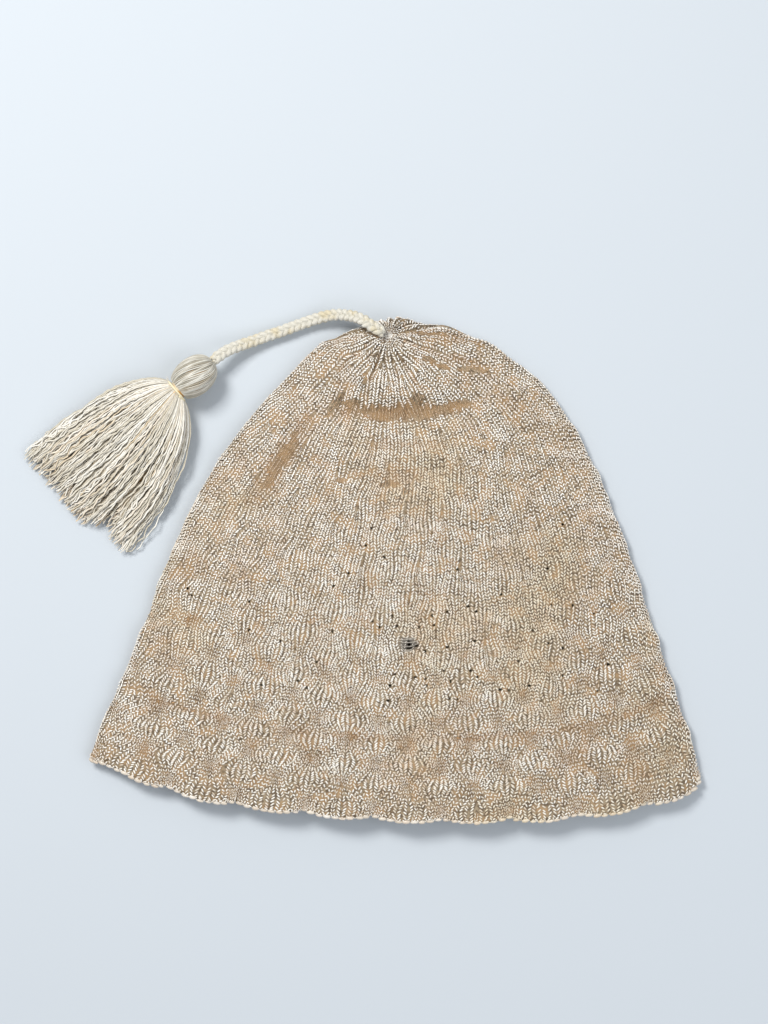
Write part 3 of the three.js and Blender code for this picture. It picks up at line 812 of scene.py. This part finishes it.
def bareBand(x, y, turn):  # the strip and patches where the knit lies smooth, painted dark as shade in these folds
    front = isFront(turn)
    if not np.any(front):
        return np.zeros(np.shape(x), bool)
    strip = creaseDrop(x - seat[0], y - seat[1], only=0) / creaseTable[0]["depth"]
    found = strip > 0.76 + 0.10 * ripple(x, y, 0.012, 9) + 0.08 * ripple(x * 1.4, y * 0.3, 0.005, 19)
    groove = creaseDrop(x - seat[0], y - seat[1], only=1) / creaseTable[1]["depth"]
    found = found | (groove > 0.90 + 0.05 * ripple(x, y, 0.006, 29))
    for across, up, long, tall, lean in wearAndShade["barePatches"]:
        dx, dy = x - across, y - up
        along = dx * math.cos(lean) + dy * math.sin(lean)
        found = found | ((along / long) ** 2 + ((dy * math.cos(lean) - dx * math.sin(lean)) / tall) ** 2 < 1)
    return found & front


def inHole(x, y, grow):
    dx = (x - wearAndShade["wornHole"][0]) / (wearAndShade["wornWidth"] / 2 + grow)
    dy = (y - wearAndShade["wornHole"][1]) / (wearAndShade["wornHeight"] / 2 + grow)
    return dx * dx + dy * dy < 1


def wornShare(x, y, turn):
    dx = (x - wearAndShade["wornHole"][0]) / wearAndShade["wornWidth"] * 2
    dy = (y - wearAndShade["wornHole"][1]) / wearAndShade["wornHeight"] * 2
    return (1 - smooth(np.hypot(dx, dy), 0.75, 1.25)) * isFront(turn)


def inGap(x, y, grow=0.0):  # the open gaps in the worn place
    found = np.zeros(np.shape(x), bool)
    for across, up, long, tall in wearAndShade["gaps"]:
        dx, dy = x - wearAndShade["wornHole"][0] - across, y - wearAndShade["wornHole"][1] - up
        found |= (dx / (long / 2 + grow)) ** 2 + (dy / (tall / 2 + grow)) ** 2 < 1
    return found


def inEyelet(x, y, grow=0.0):
    found = np.zeros(np.shape(x), bool)
    for across, up in wearAndShade["eyelets"]:
        found |= (x - across) ** 2 + (y - up) ** 2 < (wearAndShade["eyeletRadius"] + grow) ** 2
    return found


# the knit's ground: one sheet, turned up inside at the hem, its browns painted shade between the stitches

groundPlan = {
    "roundSteps": 216,
    "outerSteps": 118,
    "rollSteps": 5,
    "facingSteps": 14,
    "lift": -0.0005,
    "wall": 0.0009,
    "crowding": 1.1,
}


def knitGround():
    steps = groundPlan["roundSteps"]
    rollShare = math.pi * capShape["hemRoll"] / capShape["height"]
    facingShare = capShape["facingHeight"] / capShape["height"]
    outer, roll, facing = (np.linspace(0, 1, groundPlan[part] + 1)[1:]
                           for part in ("outerSteps", "rollSteps", "facingSteps"))
    rows = np.concatenate([outer ** groundPlan["crowding"], 1 + rollShare * roll,
                           1 + rollShare + facingShare * facing])
    turns = 4 * np.arange(steps) / steps
    turn, along = np.meshgrid(turns, rows)
    points = sheetPoint(turn, along, groundPlan["lift"]) + seat
    pole = gatherPoint + np.array([0, 0, -0.0002])
    last = turn.size
    faces = ringFaces(len(rows), steps) + [(last, (j + 1) % steps, j) for j in range(steps)]
    places = ringPlaces(turns, 4 / steps, rows) + [(t, 0) for t in turns for _ in range(3)]
    mesh = skinMesh("knitGround", np.concatenate([points.reshape(-1, 3), pole[None]]), faces, places)
    x, y = points[..., 0], points[..., 1]
    setAttributes(mesh, {
        "ageAndShade": np.append(frontAgeAndShade(x, y, np.minimum(along, 1), turn).ravel(), 0.5),
        "worn": np.append((wornShare(x, y, turn) * (along < 1)).ravel(), 0),
    })
    pierce(mesh)
    return mesh


def pierce(mesh):  # finer faces round the eyelets and the worn place, then the gaps taken out
    cloth = bmesh.new()
    cloth.from_mesh(mesh)

    def outerFaces(test):
        return [f for f in cloth.faces if f.normal.z > 0.3 and f.calc_center_median().z > 0.006
                and test(f.calc_center_median())]

    near = outerFaces(lambda c: inEyelet(c.x, c.y, 0.0018) or inHole(c.x, c.y, 0.0015))
    edges = list({edge for face in near for edge in face.edges})
    bmesh.ops.subdivide_edges(cloth, edges=edges, cuts=3, use_grid_fill=True)
    cloth.normal_update()
    gone = outerFaces(lambda c: inEyelet(c.x, c.y) or inGap(c.x, c.y))
    bmesh.ops.delete(cloth, geom=gone, context="FACES")
    cloth.to_mesh(mesh)
    cloth.free()
    mesh.update()


ground = newPiece("knitGround", knitGround(), hollowSilk())
wall = ground.modifiers.new("wall", "SOLIDIFY")
wall.thickness = groundPlan["wall"]
wall.offset = -1
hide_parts("cap_body")
print("ground of the knit made,", len(ground.data.polygons), "faces")


# stitches: rows of V-shaped stitches that swing aside in fans

stitchPlan = {
    "rowHeight": 0.00130,
    "width": 0.0030,  # one wale, both legs
    "legWidth": 0.00084,
    "legReach": 0.64,  # how far a leg leans out, of half a wale
    "legRise": 0.94,  # how far it climbs, of a row's height
    "legOverlap": 1.12,
    "legPitch": 0.10,  # its upper end stands up from the cloth
    "legRoll": 0.16,  # its outer end lies deeper, so each wale is a rib
    "thickness": 0.00066,
    "lift": -0.00028,
    "crownStart": 0.005,
    "bornAt": 0.35,  # a new wale is drawn from this share of its full width
    "seed": 7,
}


ringPlan = {"rows": 60, "fineTurns": 5761, "columns": 1440}


def ringMeasures():
    downs = np.linspace(0.012, 1, ringPlan["rows"])
    turns = np.linspace(0, 4, ringPlan["fineTurns"])
    table, lengths = [], []
    for down in downs:
        length = lengthsAlong(basePoint(turns, np.full(turns.shape, down)))
        table.append(np.interp(np.linspace(0, 1, ringPlan["columns"] + 1), length / length[-1], turns))
        lengths.append(length[-1])
    return downs, np.array(table), np.array(lengths)


ringDowns, ringTurns, ringLengths = ringMeasures()


def ringLength(down):
    return np.interp(down, ringDowns, ringLengths)


def turnAt(share, down):  # the turn at a share of the ring's own length
    rows, columns = len(ringDowns) - 1, ringPlan["columns"]
    row = np.clip((down - ringDowns[0]) / (ringDowns[-1] - ringDowns[0]) * rows, 0, rows - 0.001)
    column = np.clip(np.mod(share, 1) * columns, 0, columns - 0.001)
    i, j = row.astype(int), column.astype(int)
    f, g = row - i, column - j
    upper = ringTurns[i, j] * (1 - g) + ringTurns[i, j + 1] * g
    lower = ringTurns[i + 1, j] * (1 - g) + ringTurns[i + 1, j + 1] * g
    return upper * (1 - f) + lower * f


def waleStitches():  # one row per leg: place round the cap in fans, place down, room across, side
    draw = np.random.default_rng(stitchPlan["seed"])
    rowShare = stitchPlan["rowHeight"] / capShape["height"]
    rollShare = math.pi * capShape["hemRoll"] / capShape["height"]
    rows = np.arange(1 + rollShare * 0.7, stitchPlan["crownStart"], -rowShare)
    wide = ringLength(np.minimum(rows, 1)) / capShape["scallops"]
    most = int(wide.max() / stitchPlan["width"]) + 1
    found = [np.array([(k + 0.5, 0.0022, 0.0006, 1.0) for k in range(capShape["scallops"])])]
    for fan in range(capShape["scallops"]):  # wales are born one by one as the cap widens
        order = np.argsort(np.mod(np.arange(most) * 0.618 + draw.uniform(), 1))
        full = wide[:, None] / stitchPlan["width"] + draw.uniform(-0.5, 0.5)
        share = np.clip(full - np.arange(most)[None], 0, 1)
        share[:, 0] = 1
        share = share[:, order]
        total = share.sum(axis=1, keepdims=True)
        middle = (np.cumsum(share, axis=1) - share / 2) / total
        along = rows[:, None] + rowShare * draw.uniform(-0.25, 0.25, most)[None]
        for side in (-1.0, 1.0):
            place = fan + middle + side * share / total / 4
            room = share / total * wide[:, None] / 2
            drawn = share > stitchPlan["bornAt"]
            legs = [place[drawn], along[drawn], room[drawn], np.full(drawn.sum(), side)]
            found.append(np.stack(legs, axis=-1))
    return np.concatenate(found).T


def fanned(count, along):  # wales swing to the hearts of the fans, and rows bow round them
    phase = fanPhase(turnAt(count / capShape["scallops"], np.clip(along, 0, 1)))
    repeat = fanRepeat(along)
    swing = np.interp(along, fanPlan["swingDown"], fanPlan["swing"])
    bow = fanPlan["bow"] / capShape["height"] * swing * (1 - smooth(along, 0.955, 0.99))
    return count - swing * np.sin(phase) * np.cos(repeat), along + bow * np.cos(phase) * np.sin(repeat)


def stitchLegs():
    count, along, room, side = waleStitches()
    draw = np.random.default_rng(stitchPlan["seed"] + 1)
    rowShare = stitchPlan["rowHeight"] / capShape["height"]
    scale = ringLength(np.minimum(along, 1)) / capShape["scallops"]
    inner = np.minimum(along, 1)
    rough = basePoint(turnAt(count / capShape["scallops"], inner), inner)
    drift = fanPlan["uneven"] * smooth(along, 0.03, 0.12) * (1 - smooth(along, 0.95, 1))
    sway = draw.normal(0, 0.00009, count.shape) + drift * ripple(rough[:, 0], rough[:, 1], 0.015, 61)
    count = count + sway / scale
    along = along + draw.normal(0, 0.09, count.shape) * rowShare
    along = along + drift / capShape["height"] * ripple(rough[:, 0], rough[:, 1], 0.013, 62)

    def place(c, a, up=0.0):
        c, a = fanned(c, a)
        return sheetPoint(turnAt(c / capShape["scallops"], np.minimum(a, 1)), a, stitchPlan["lift"] + up)

    centre = place(count, along)
    upward = unit(place(count, along - rowShare / 2) - place(count, along + rowShare / 2))
    sideStep = 0.0005
    sideways = place(count + sideStep / scale, along) - place(count - sideStep / scale, along)
    room = room * np.clip(np.linalg.norm(sideways, axis=-1) / (2 * sideStep), 0.3, 1.6)
    sideways = unit(sideways)
    normal = unit(np.cross(upward, sideways))
    normal *= np.sign((normal * (place(count, along, 0.001) - centre)).sum(-1))[:, None]
    spread, down = fanned(count, along)
    turn = turnAt(spread / capShape["scallops"], np.minimum(down, 1))
    bare = bareBand(centre[:, 0] + seat[0], centre[:, 1] + seat[1], turn)
    tilt = draw.normal(0, 0.09, count.shape)[:, None]
    upward, sideways = unit(upward + sideways * tilt), unit(sideways - upward * tilt)
    reach = np.minimum(room, 0.0024) * stitchPlan["legReach"] * np.where(bare, 0.3, 1)
    rise = stitchPlan["rowHeight"] * stitchPlan["legRise"] * (1 + draw.normal(0, 0.08, count.shape))
    long = np.hypot(reach, rise)
    pitch = stitchPlan["legPitch"] - stitchPlan["legRoll"] + draw.normal(0, 0.06, count.shape)
    way = unit(upward * rise[:, None] + sideways * (side * reach)[:, None] + normal * (pitch * long)[:, None])
    thin = np.where(bare, 0.55, 1)
    size = np.stack([np.clip(room * 0.57, 0.00036, stitchPlan["legWidth"]) * thin,
                     long * stitchPlan["legOverlap"], stitchPlan["thickness"] * thin], axis=-1)
    return {"centre": roundEyelets(centre + seat, turn), "along": way, "up": normal, "size": size,
            "turn": turn, "down": down, "bare": bare}


def roundEyelets(centre, turn):  # legs stand back from the open eyelets
    room = (wearAndShade["eyeletRadius"] * 1.6) ** 3
    for across, up in wearAndShade["eyelets"]:
        away = centre[:, :2] - np.array([across, up])
        far = np.linalg.norm(away, axis=1)
        near = (far < 0.004) & isFront(turn)
        stretch = (far[near] ** 3 + room) ** (1 / 3) / np.maximum(far[near], 1e-5) - 1
        centre[near, :2] += away[near] * stretch[:, None]
    return centre


def growLegs(name, tree, centre, columns, values):
    mesh = bpy.data.meshes.new(name + "Points")
    mesh.from_pydata(centre.tolist(), [], [])
    setAttributes(mesh, columns)
    grow(name, mesh, tree, {**legInputs, **values}, "knit_silk", ("legAlong", "legUp", "legSize"))


def knitPieces(tree):
    legs = stitchLegs()
    x, y = legs["centre"][:, 0], legs["centre"][:, 1]
    down, bare = legs["down"], legs["bare"]
    front = isFront(legs["turn"])
    gone = inGap(x, y, 0.0005) & front & (down <= 1)
    draw = np.random.default_rng(21)
    # tone differs at random from stitch to stitch; its rise towards the gather is painted light on the puffed
    # crown
    tone = np.clip(draw.normal(0.60, 0.30, x.shape) + 0.3 * (1 - smooth(down, 0.12, 0.34)), 0, 1)
    ageAndShade = frontAgeAndShade(x, y, np.minimum(down, 1), legs["turn"]) * draw.uniform(0.35, 1.25, x.shape)
    ageAndShade = ageAndShade + (draw.uniform(0, 1, x.shape) < 0.15) * draw.uniform(0.12, 0.50, x.shape)
    # in the bare folds the legs are painted brown here and dark in their tone below: painted shade
    ageAndShade = np.where(bare, draw.uniform(0.5, 0.9, x.shape), ageAndShade)
    share = wornShare(x, y, legs["turn"])
    columns = {
        "legAlong": legs["along"],
        "legUp": legs["up"],
        "legSize": legs["size"] * (1 - 0.35 * share)[:, None],
        "tone": np.where(bare, tone * 0.3, tone),
        "ageAndShade": np.clip(ageAndShade, 0, 1),
        "worn": share * draw.uniform(0.5, 1, x.shape),
    }
    for name, side, split, sides in (("knitFront", front, 0.64, 4), ("knitBack", ~front, 0.68, 3)):
        for part, chosen in (("Upper", down < split), ("Lower", down >= split)):
            chosen = chosen & side & ~gone
            growLegs(name + part, tree, legs["centre"][chosen],
                     {key: column[chosen] for key, column in columns.items()}, {"Sides": sides})


knitStitches = stitchTree(stitchSilk())
knitPieces(knitStitches)


rimPlan = {"pitch": 0.0036, "long": 0.0035, "wide": 0.0021, "lift": -0.0002, "seed": 31}


def rimLoops():  # the last row of loops, rolled over the edge of the hem
    draw = np.random.default_rng(rimPlan["seed"])
    count = int(ringLength(1.0) / rimPlan["pitch"])
    share = (np.arange(count) + draw.uniform(-0.12, 0.12, count)) / count
    turn = turnAt(share, np.ones(count))
    roll = 1 + math.pi * capShape["hemRoll"] / capShape["height"] * (0.40 + draw.normal(0, 0.05, count))
    lift = np.full(count, rimPlan["lift"]) + draw.normal(0, 0.0001, count)
    centre = sheetPoint(turn, roll, lift) + seat
    along = unit(sheetPoint(turn + 0.01, roll, lift) - sheetPoint(turn - 0.01, roll, lift))
    outward = unit(sheetPoint(turn, roll, lift + 0.001) - sheetPoint(turn, roll, lift - 0.001))
    size = np.array([[rimPlan["wide"], rimPlan["long"], rimPlan["wide"] * 0.85]])
    growLegs("hemLoops", knitStitches, centre, {
        "legAlong": unit(along + 0.10 * np.cross(outward, along)),
        "legUp": outward,
        "legSize": size * draw.uniform(0.85, 1.15, (count, 1)),
        "tone": np.clip(draw.normal(0.15, 0.2, count), 0, 1),
        "ageAndShade": draw.uniform(0, 0.25, count),
        "worn": draw.uniform(0.05, 0.3, count),
    }, {"Sides": 6, "Rings": 5, "Unevenness": 0.15, "Seed": 9})


rimLoops()


# the tassel: strands over a round head, tied at the neck, and a skirt of loose yarns

tasselPlan = {
    "headLength": 0.022,
    "headWidth": 0.018,
    "neckWidth": 0.010,
    "skirtLength": 0.072,
    "skirtSpread": 0.066,
    "threadWidth": 0.001,
    "headStrands": 96,
    "strandRadius": 0.00034,
    "skirtYarns": [80, 88, 96, 100, 100],  # by layer, from the surface up
    "yarnRadius": 0.00044,
    "yarnSides": 3,
    "yarnStep": 0.0012,
    "twistStep": 0.0042,
    "tuftYarns": 9,
    "tuftLength": 0.0042,
    "seed": 12,
}

# across the skirt: how far the yarns reach, where they end, how they leave the neck and bow out,
# as shares of the skirt's length and spread
fanTable = {
    "fan": [0, 0.2, 0.43, 0.68, 0.78, 0.86, 0.95, 1],
    "reach": [1.01, 1.01, 1.01, 1.0, 0.88, 0.93, 0.93, 0.85],
    "side": [-0.37, -0.20, 0.03, 0.295, 0.405, 0.50, 0.62, 0.66],
    "leave": [-0.27, -0.15, -0.02, 0.11, 0.17, 0.24, 0.31, 0.36],
    "bow": [-0.39, -0.21, 0.02, 0.26, 0.36, 0.45, 0.53, 0.58],
}

axisHeight = tasselPlan["headWidth"] / 2 + cordPlan["seatGap"] / 3
headMiddle = cordPlan["seatGap"] + tasselPlan["headLength"] / 2
headToNeck = math.sqrt(1 - (0.8 * tasselPlan["neckWidth"] / tasselPlan["headWidth"]) ** 2)
neckPlace = headMiddle + headToNeck * tasselPlan["headLength"] / 2 + tasselPlan["threadWidth"] / 2


def tasselToCap(points):  # +X runs along the tassel from the cord's end
    end, before = routePoints[-1], routePoints[-2]
    angle = math.atan2(end[1] - before[1], end[0] - before[0])
    x, y, z = points[..., 0], points[..., 1], points[..., 2]
    return np.stack([end[0] + x * math.cos(angle) - y * math.sin(angle),
                     end[1] + x * math.sin(angle) + y * math.cos(angle), z + seat[2]], axis=-1)


def growYarns(name, yarns, material, sides, slotName):  # yarns: list of (line, radius, age and painted shade, tone)
    points, edges = [], []
    columns = {"yarnRadius": [], "ageAndShade": [], "tone": []}
    for line, *values in yarns:
        start = len(points)
        points += line.tolist()
        edges += [(start + i, start + i + 1) for i in range(len(line) - 1)]
        for column, value in zip(columns.values(), values):
            column += list(np.broadcast_to(value, (len(line),)))
    mesh = bpy.data.meshes.new(name + "Lines")
    mesh.from_pydata(points, edges, [])
    setAttributes(mesh, columns)
    return grow(name, mesh, yarnTree(material), {**yarnInputs, "Sides": sides}, slotName, ("yarnRadius",))


def headLines():
    draw = np.random.default_rng(tasselPlan["seed"])
    yarns = []
    for strand in range(tasselPlan["headStrands"]):
        angle = 2 * math.pi * (strand + draw.uniform(-0.2, 0.2)) / tasselPlan["headStrands"]
        t = np.linspace(0.16, math.pi * 0.80, 22)
        around = angle + 0.35 * (t - 1.2) + 0.05 * np.sin(3 * t + strand)
        swell = (tasselPlan["headWidth"] / 2 - 0.0005) * np.sin(t) ** 0.82
        x = headMiddle - np.cos(t) * tasselPlan["headLength"] / 2
        line = np.stack([x, swell * np.cos(around), axisHeight + swell * np.sin(around)], axis=-1)
        fullness = np.clip(swell / (tasselPlan["headWidth"] / 2), 0.35, 1)
        radius = tasselPlan["strandRadius"] * fullness * draw.uniform(0.9, 1.15)
        yarns.append((tasselToCap(line), radius, draw.uniform(0, 0.10), draw.uniform(0, 1)))
    return yarns


def fanAt(column, place):
    return float(columnAt(fanTable, column, "fan", np.array(np.clip(place, 0, 1))))


def wave(draw, travelled, shortest, longest):
    return np.sin(travelled / draw.uniform(shortest, longest) * 2 * math.pi + draw.uniform(0, 6.28))


def skirtLines():
    draw = np.random.default_rng(tasselPlan["seed"] + 1)
    yarns = []
    layers = len(tasselPlan["skirtYarns"])
    spread, length, neck = tasselPlan["skirtSpread"], tasselPlan["skirtLength"], tasselPlan["neckWidth"]
    for layer, count in enumerate(tasselPlan["skirtYarns"]):
        lift = layer / (layers - 1)
        inset = 0.01 + 0.09 * lift
        for number in range(count):
            place = np.clip((number + draw.uniform(-0.3, 0.3) + 0.5) / count, 0, 1)
            fan = mix(inset, 1 - inset, place)
            lock = (np.floor(fan * 11 + 0.3 * math.sin(5 * lift)) + 0.5) / 11
            end = np.clip(mix(fan, lock, draw.uniform(0, 0.5)) + draw.normal(0, 0.012), 0, 1)
            reach = fanAt("reach", end) * length * draw.uniform(0.92, 1.02) * (1 - 0.04 * lift)
            roundness = 1 - (2 * fan - 1) ** 2
            bulge = 0.0046 * (lift - 0.35) * math.sqrt(roundness)
            start = axisHeight + (lift - 0.5) * neck * 0.75 * math.sqrt(roundness)
            rest = 0.0010 + 0.0034 * lift * (0.55 + 0.45 * roundness) + draw.uniform(0, 0.0005)
            corners = np.array([
                (neckPlace - 0.0006, (fan - 0.5) * neck * 0.86, start),
                (neckPlace + 0.0030 + 0.006 * roundness, spread * fanAt("leave", fan), start + bulge),
                (neckPlace + length * 0.38, spread * fanAt("bow", fan), mix(start + bulge, rest, 0.35)),
                (neckPlace + reach, spread * fanAt("side", end), rest)])
            steps = int(reach / tasselPlan["yarnStep"])
            t = np.linspace(0, 1, steps)[:, None]
            line = ((1 - t) ** 3 * corners[0] + 3 * t * (1 - t) ** 2 * corners[1]
                    + 3 * t * t * (1 - t) * corners[2] + t ** 3 * corners[3])
            t = t[:, 0]
            far = smooth(t, 0.05, 0.8)
            sway = wave(draw, t * reach, 0.012, 0.032)
            curl = wave(draw, t * reach, 0.0045, 0.0075)
            loose = draw.uniform(0, 1) ** 2.5
            crimp = wave(draw, t * reach, 0.0038, 0.0056)
            line[:, 1] += (0.00065 * sway + 0.00026 * crimp) * far
            line[:, 1] += 0.0014 * loose * curl * smooth(t, 0.8 - 0.2 * loose, 1)
            line[:, 2] += (0.0003 * sway + 0.00018 * crimp) * far + 0.0005 * loose * curl * smooth(t, 0.7, 1)
            line[:, 2] += draw.normal(0, 0.00026) * smooth(t, 0.01, 0.12) * (1 - 0.6 * smooth(t, 0.6, 1))
            line[:, 2] = np.maximum(line[:, 2], 0.0007)
            twist = 1 + 0.15 * np.sin(2 * math.pi * t * reach / tasselPlan["twistStep"])
            taper = (1 - 0.3 * smooth(t, 0.95, 1)) * (0.55 + 0.45 * smooth(t, 0, 0.25))
            radius = tasselPlan["yarnRadius"] * twist * draw.uniform(0.80, 1.15) * taper
            # lower layers turn golden in the middle: painted shade deep in the skirt; the few streaks are the
            # yarn's own colour
            depthShade = max(0, 0.8 - lift) * smooth(t, 0.25, 0.5) * (1 - 0.7 * smooth(t, 0.75, 1))
            depthShade = depthShade * smooth(roundness, 0.25, 0.75)
            streak = draw.uniform(0.10, 0.30) if draw.uniform() < 0.15 else draw.uniform(0, 0.04)
            ageAndShade = np.clip(depthShade * draw.uniform(0.3, 1.2) + streak * smooth(roundness, 0.1, 0.4), 0, 0.9)
            yarns.append((tasselToCap(line), radius, ageAndShade, draw.uniform(0, 1) ** 0.8))
    for number in range(tasselPlan["tuftYarns"]):  # a small frayed tuft beside the neck
        lean = draw.uniform(-0.6, 0.9)
        high = draw.uniform(-0.0012, 0.0014)
        t = np.linspace(0, 1, 7)
        far = tasselPlan["tuftLength"] * draw.uniform(0.6, 1.0) * t
        x = neckPlace + 0.0002 + far * lean + 0.0008 * t * t
        line = np.stack([x, -neck * 0.46 - far * 0.9, axisHeight + high - 0.0012 * t], axis=-1)
        yarns.append((tasselToCap(line), 0.00012, 0.0, draw.uniform(0.4, 1)))
    return yarns


corePlan = {"rings": 18, "sides": 28, "underHead": 0.0009, "underSkirt": 0.0026}


def coreMesh():  # fills the head and the middle of the skirt under the yarns
    t = np.linspace(0.02, math.pi * 0.83, corePlan["rings"])
    swell = (tasselPlan["headWidth"] / 2 - corePlan["underHead"]) * np.sin(t) ** 0.82
    long = tasselPlan["headLength"] / 2 - 0.0006
    rings = [(headMiddle - math.cos(a) * long, 0, axisHeight, r, r) for a, r in zip(t, swell)]
    for share in np.linspace(0.02, 0.84, corePlan["rings"]):
        t = np.array([(1 - share) ** 3, 3 * share * (1 - share) ** 2, 3 * share ** 2 * (1 - share), share ** 3])
        edges = [tasselPlan["skirtSpread"] * (t @ [0.07 * (2 * fan - 1), fanAt("leave", fan), fanAt("bow", fan),
                                                   fanAt("side", fan)]) for fan in (0.03, 0.97)]
        x = neckPlace + tasselPlan["skirtLength"] * (t @ [0, 0.06, 0.38, 0.97])
        bulge = 0.0012 * math.sin(math.pi * min(share * 3, 1))
        tall = mix(tasselPlan["neckWidth"] * 0.40, 0.0021, share) + bulge
        height = mix(axisHeight, 0.0027, float(smooth(share, 0, 0.8)))
        rings.append((x, sum(edges) / 2, height, (edges[1] - edges[0]) / 2 - corePlan["underSkirt"], tall))
    sides = corePlan["sides"]
    angles = [2 * math.pi * j / sides for j in range(sides)]
    points = [(x, middle + wide * math.cos(a), height + tall * math.sin(a))
              for x, middle, height, wide, tall in rings for a in angles]
    ends = [tuple(range(sides))[::-1], tuple(range((len(rings) - 1) * sides, len(rings) * sides))]
    return skinMesh("tasselCore", tasselToCap(np.array(points)), ringFaces(len(rings), sides) + ends)


def coreSilk():  # cream under the yarns, golden in a few places
    material, tree, shader = shadeTree("coreSilk", 0.5, 0.1)
    noise = noiseOn(tree, 300, 3)
    gold = ramped(tree, noiseOn(tree, 95, 1), 0.52, 0.60)
    paint(tree, shader, mixColour(tree, noise, srgb(222, 204, 168), srgb(240, 230, 206)),
          [(gold, srgb(214, 166, 92))])
    relieve(tree, shader, noise, 0.6, 0.0005)
    return material


looseColours = {
    "headSilk": (srgb(152, 147, 131), srgb(228, 227, 218)),
    "skirtSilk": (srgb(206, 198, 178), srgb(252, 249, 241)),
    "threadSilk": (srgb(226, 212, 166), srgb(244, 234, 200)),
}


def looseSilk(name):
    material, tree, shader = shadeTree(name, 0.30, 0.15)
    shade, bright = looseColours[name]
    paint(tree, shader, mixColour(tree, attributeOf(tree, "tone"), shade, bright), [
        (ramped(tree, noiseOn(tree, 260, 2), 0.4, 0.7, 0, 0.35), shade),
        # golden where the yarn is streaked, and golden painted shade in the skirt's lower layers
        (attributeOf(tree, "ageAndShade"), yarnColours["gold"]),
    ])
    relieve(tree, shader, noiseOn(tree, 2400, 2), 0.3, 0.0001)
    return material


def makeTassel():
    core = newPiece("tasselCore", coreMesh(), coreSilk())
    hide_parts("tassel")
    head = growYarns("tasselHead", headLines(), looseSilk("headSilk"), 6, "tassel_silk")
    skirt = growYarns("tasselSkirt", skirtLines(), looseSilk("skirtSilk"), tasselPlan["yarnSides"],
                      "tassel_silk")
    return [core, head, skirt]


def neckThread():
    turns = np.linspace(0, 2 * math.pi * 1.15, 90)
    radius = tasselPlan["neckWidth"] / 2 + 0.0004
    x = neckPlace + 0.0006 * (turns / turns[-1] - 0.5)
    line = np.stack([x, radius * np.cos(turns), axisHeight + radius * np.sin(turns)], axis=-1)
    return growYarns("neckThread", [(tasselToCap(line), tasselPlan["threadWidth"] * 0.42, 0.0, 0.7)],
                     looseSilk("threadSilk"), 8, "binding_thread")


def wornStrands():  # greyed yarns that still cross the worn place
    draw = np.random.default_rng(44)
    yarns = []
    across, up = wearAndShade["wornHole"]
    for height in wearAndShade["strandHeights"]:
        bow = draw.uniform(0.0006, 0.0024)
        chord = math.sqrt(max(1 - (2 * height / wearAndShade["wornHeight"]) ** 2, 0.2))
        t = np.linspace(-1, 1, 14)
        x = across + t * (wearAndShade["wornWidth"] / 2 * chord + 0.0006)
        y = up + height + bow * t * t * 0.6 + draw.uniform(-0.0004, 0.0004) * t
        z = surfaceHeight(x, y) - 0.0002 + draw.uniform(-0.0002, 0.0002)
        yarns.append((np.stack([x, y, z], axis=-1), draw.uniform(0.00009, 0.00016), 0.0, 0.5))
    growYarns("wornStrands", yarns, greySilk(), 5, "knit_silk")


def surfaceHeight(x, y):  # height of the front over a point, from a search down each line
    turn = np.full(np.shape(x), 1.0)
    down = np.full(np.shape(x), 0.6)
    for _ in range(12):
        here = knitPoint(turn, down, 0.0 * turn) + seat
        turn = turn + (here[..., 0] - x) / 0.125
        down = down + (here[..., 1] - y) / 0.22
    return (knitPoint(turn, down, 0.0 * turn) + seat)[..., 2]


def greySilk():
    material, tree, shader = shadeTree("greySilk", 0.45, 0.2)
    paint(tree, shader, mixColour(tree, noiseOn(tree, 900, 2), srgb(176, 168, 154), srgb(220, 212, 198)))
    return material


tasselPieces = makeTassel()
wornStrands()
thread = neckThread()
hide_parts("neck_binding")
print("tassel made")


# floor and light

lightPlan = {
    "key": {"place": (-0.58, 0.70, 1.12), "size": 0.45, "power": 18.2, "colour": (1.0, 0.985, 0.96)},
    "fill": {"place": (0.9, -0.4, 1.1), "size": 1.2, "power": 8.5, "colour": (0.94, 0.97, 1.0)},
}


def layFloor():
    mesh = bpy.data.meshes.new("floor")
    reach = 4.0
    low = -0.0003  # the stitches under the back press this far below the cap's outline
    corners = [(-reach, -reach, low), (reach, -reach, low), (reach, reach, low), (-reach, reach, low)]
    mesh.from_pydata(corners, [], [(0, 1, 2, 3)])
    floor = bpy.data.objects.new("floor", mesh)
    scene.collection.objects.link(floor)
    material, _, shader = shadeTree("paleFloor", 0.9, 0.0)
    shader.inputs["Base Color"].default_value = srgb(196, 203, 209)
    mesh.materials.append(material)


def hangLights():
    for name, plan in lightPlan.items():
        data = bpy.data.lights.new(name, "AREA")
        data.energy = plan["power"]
        data.size = plan["size"]
        data.color = plan["colour"]
        holder = bpy.data.objects.new(name, data)
        holder.location = plan["place"]
        holder.rotation_euler = (-Vector(plan["place"])).to_track_quat("-Z", "Y").to_euler()
        scene.collection.objects.link(holder)
    world = bpy.data.worlds.new("studio")
    world.use_nodes = True
    world.node_tree.nodes["Background"].inputs["Color"].default_value = (0.93, 0.95, 1.0, 1)
    world.node_tree.nodes["Background"].inputs["Strength"].default_value = 0.45
    scene.world = world
    scene.view_settings.view_transform = "Standard"


layFloor()
hangLights()
print("floor and light set")


bpy.context.view_layer.update()
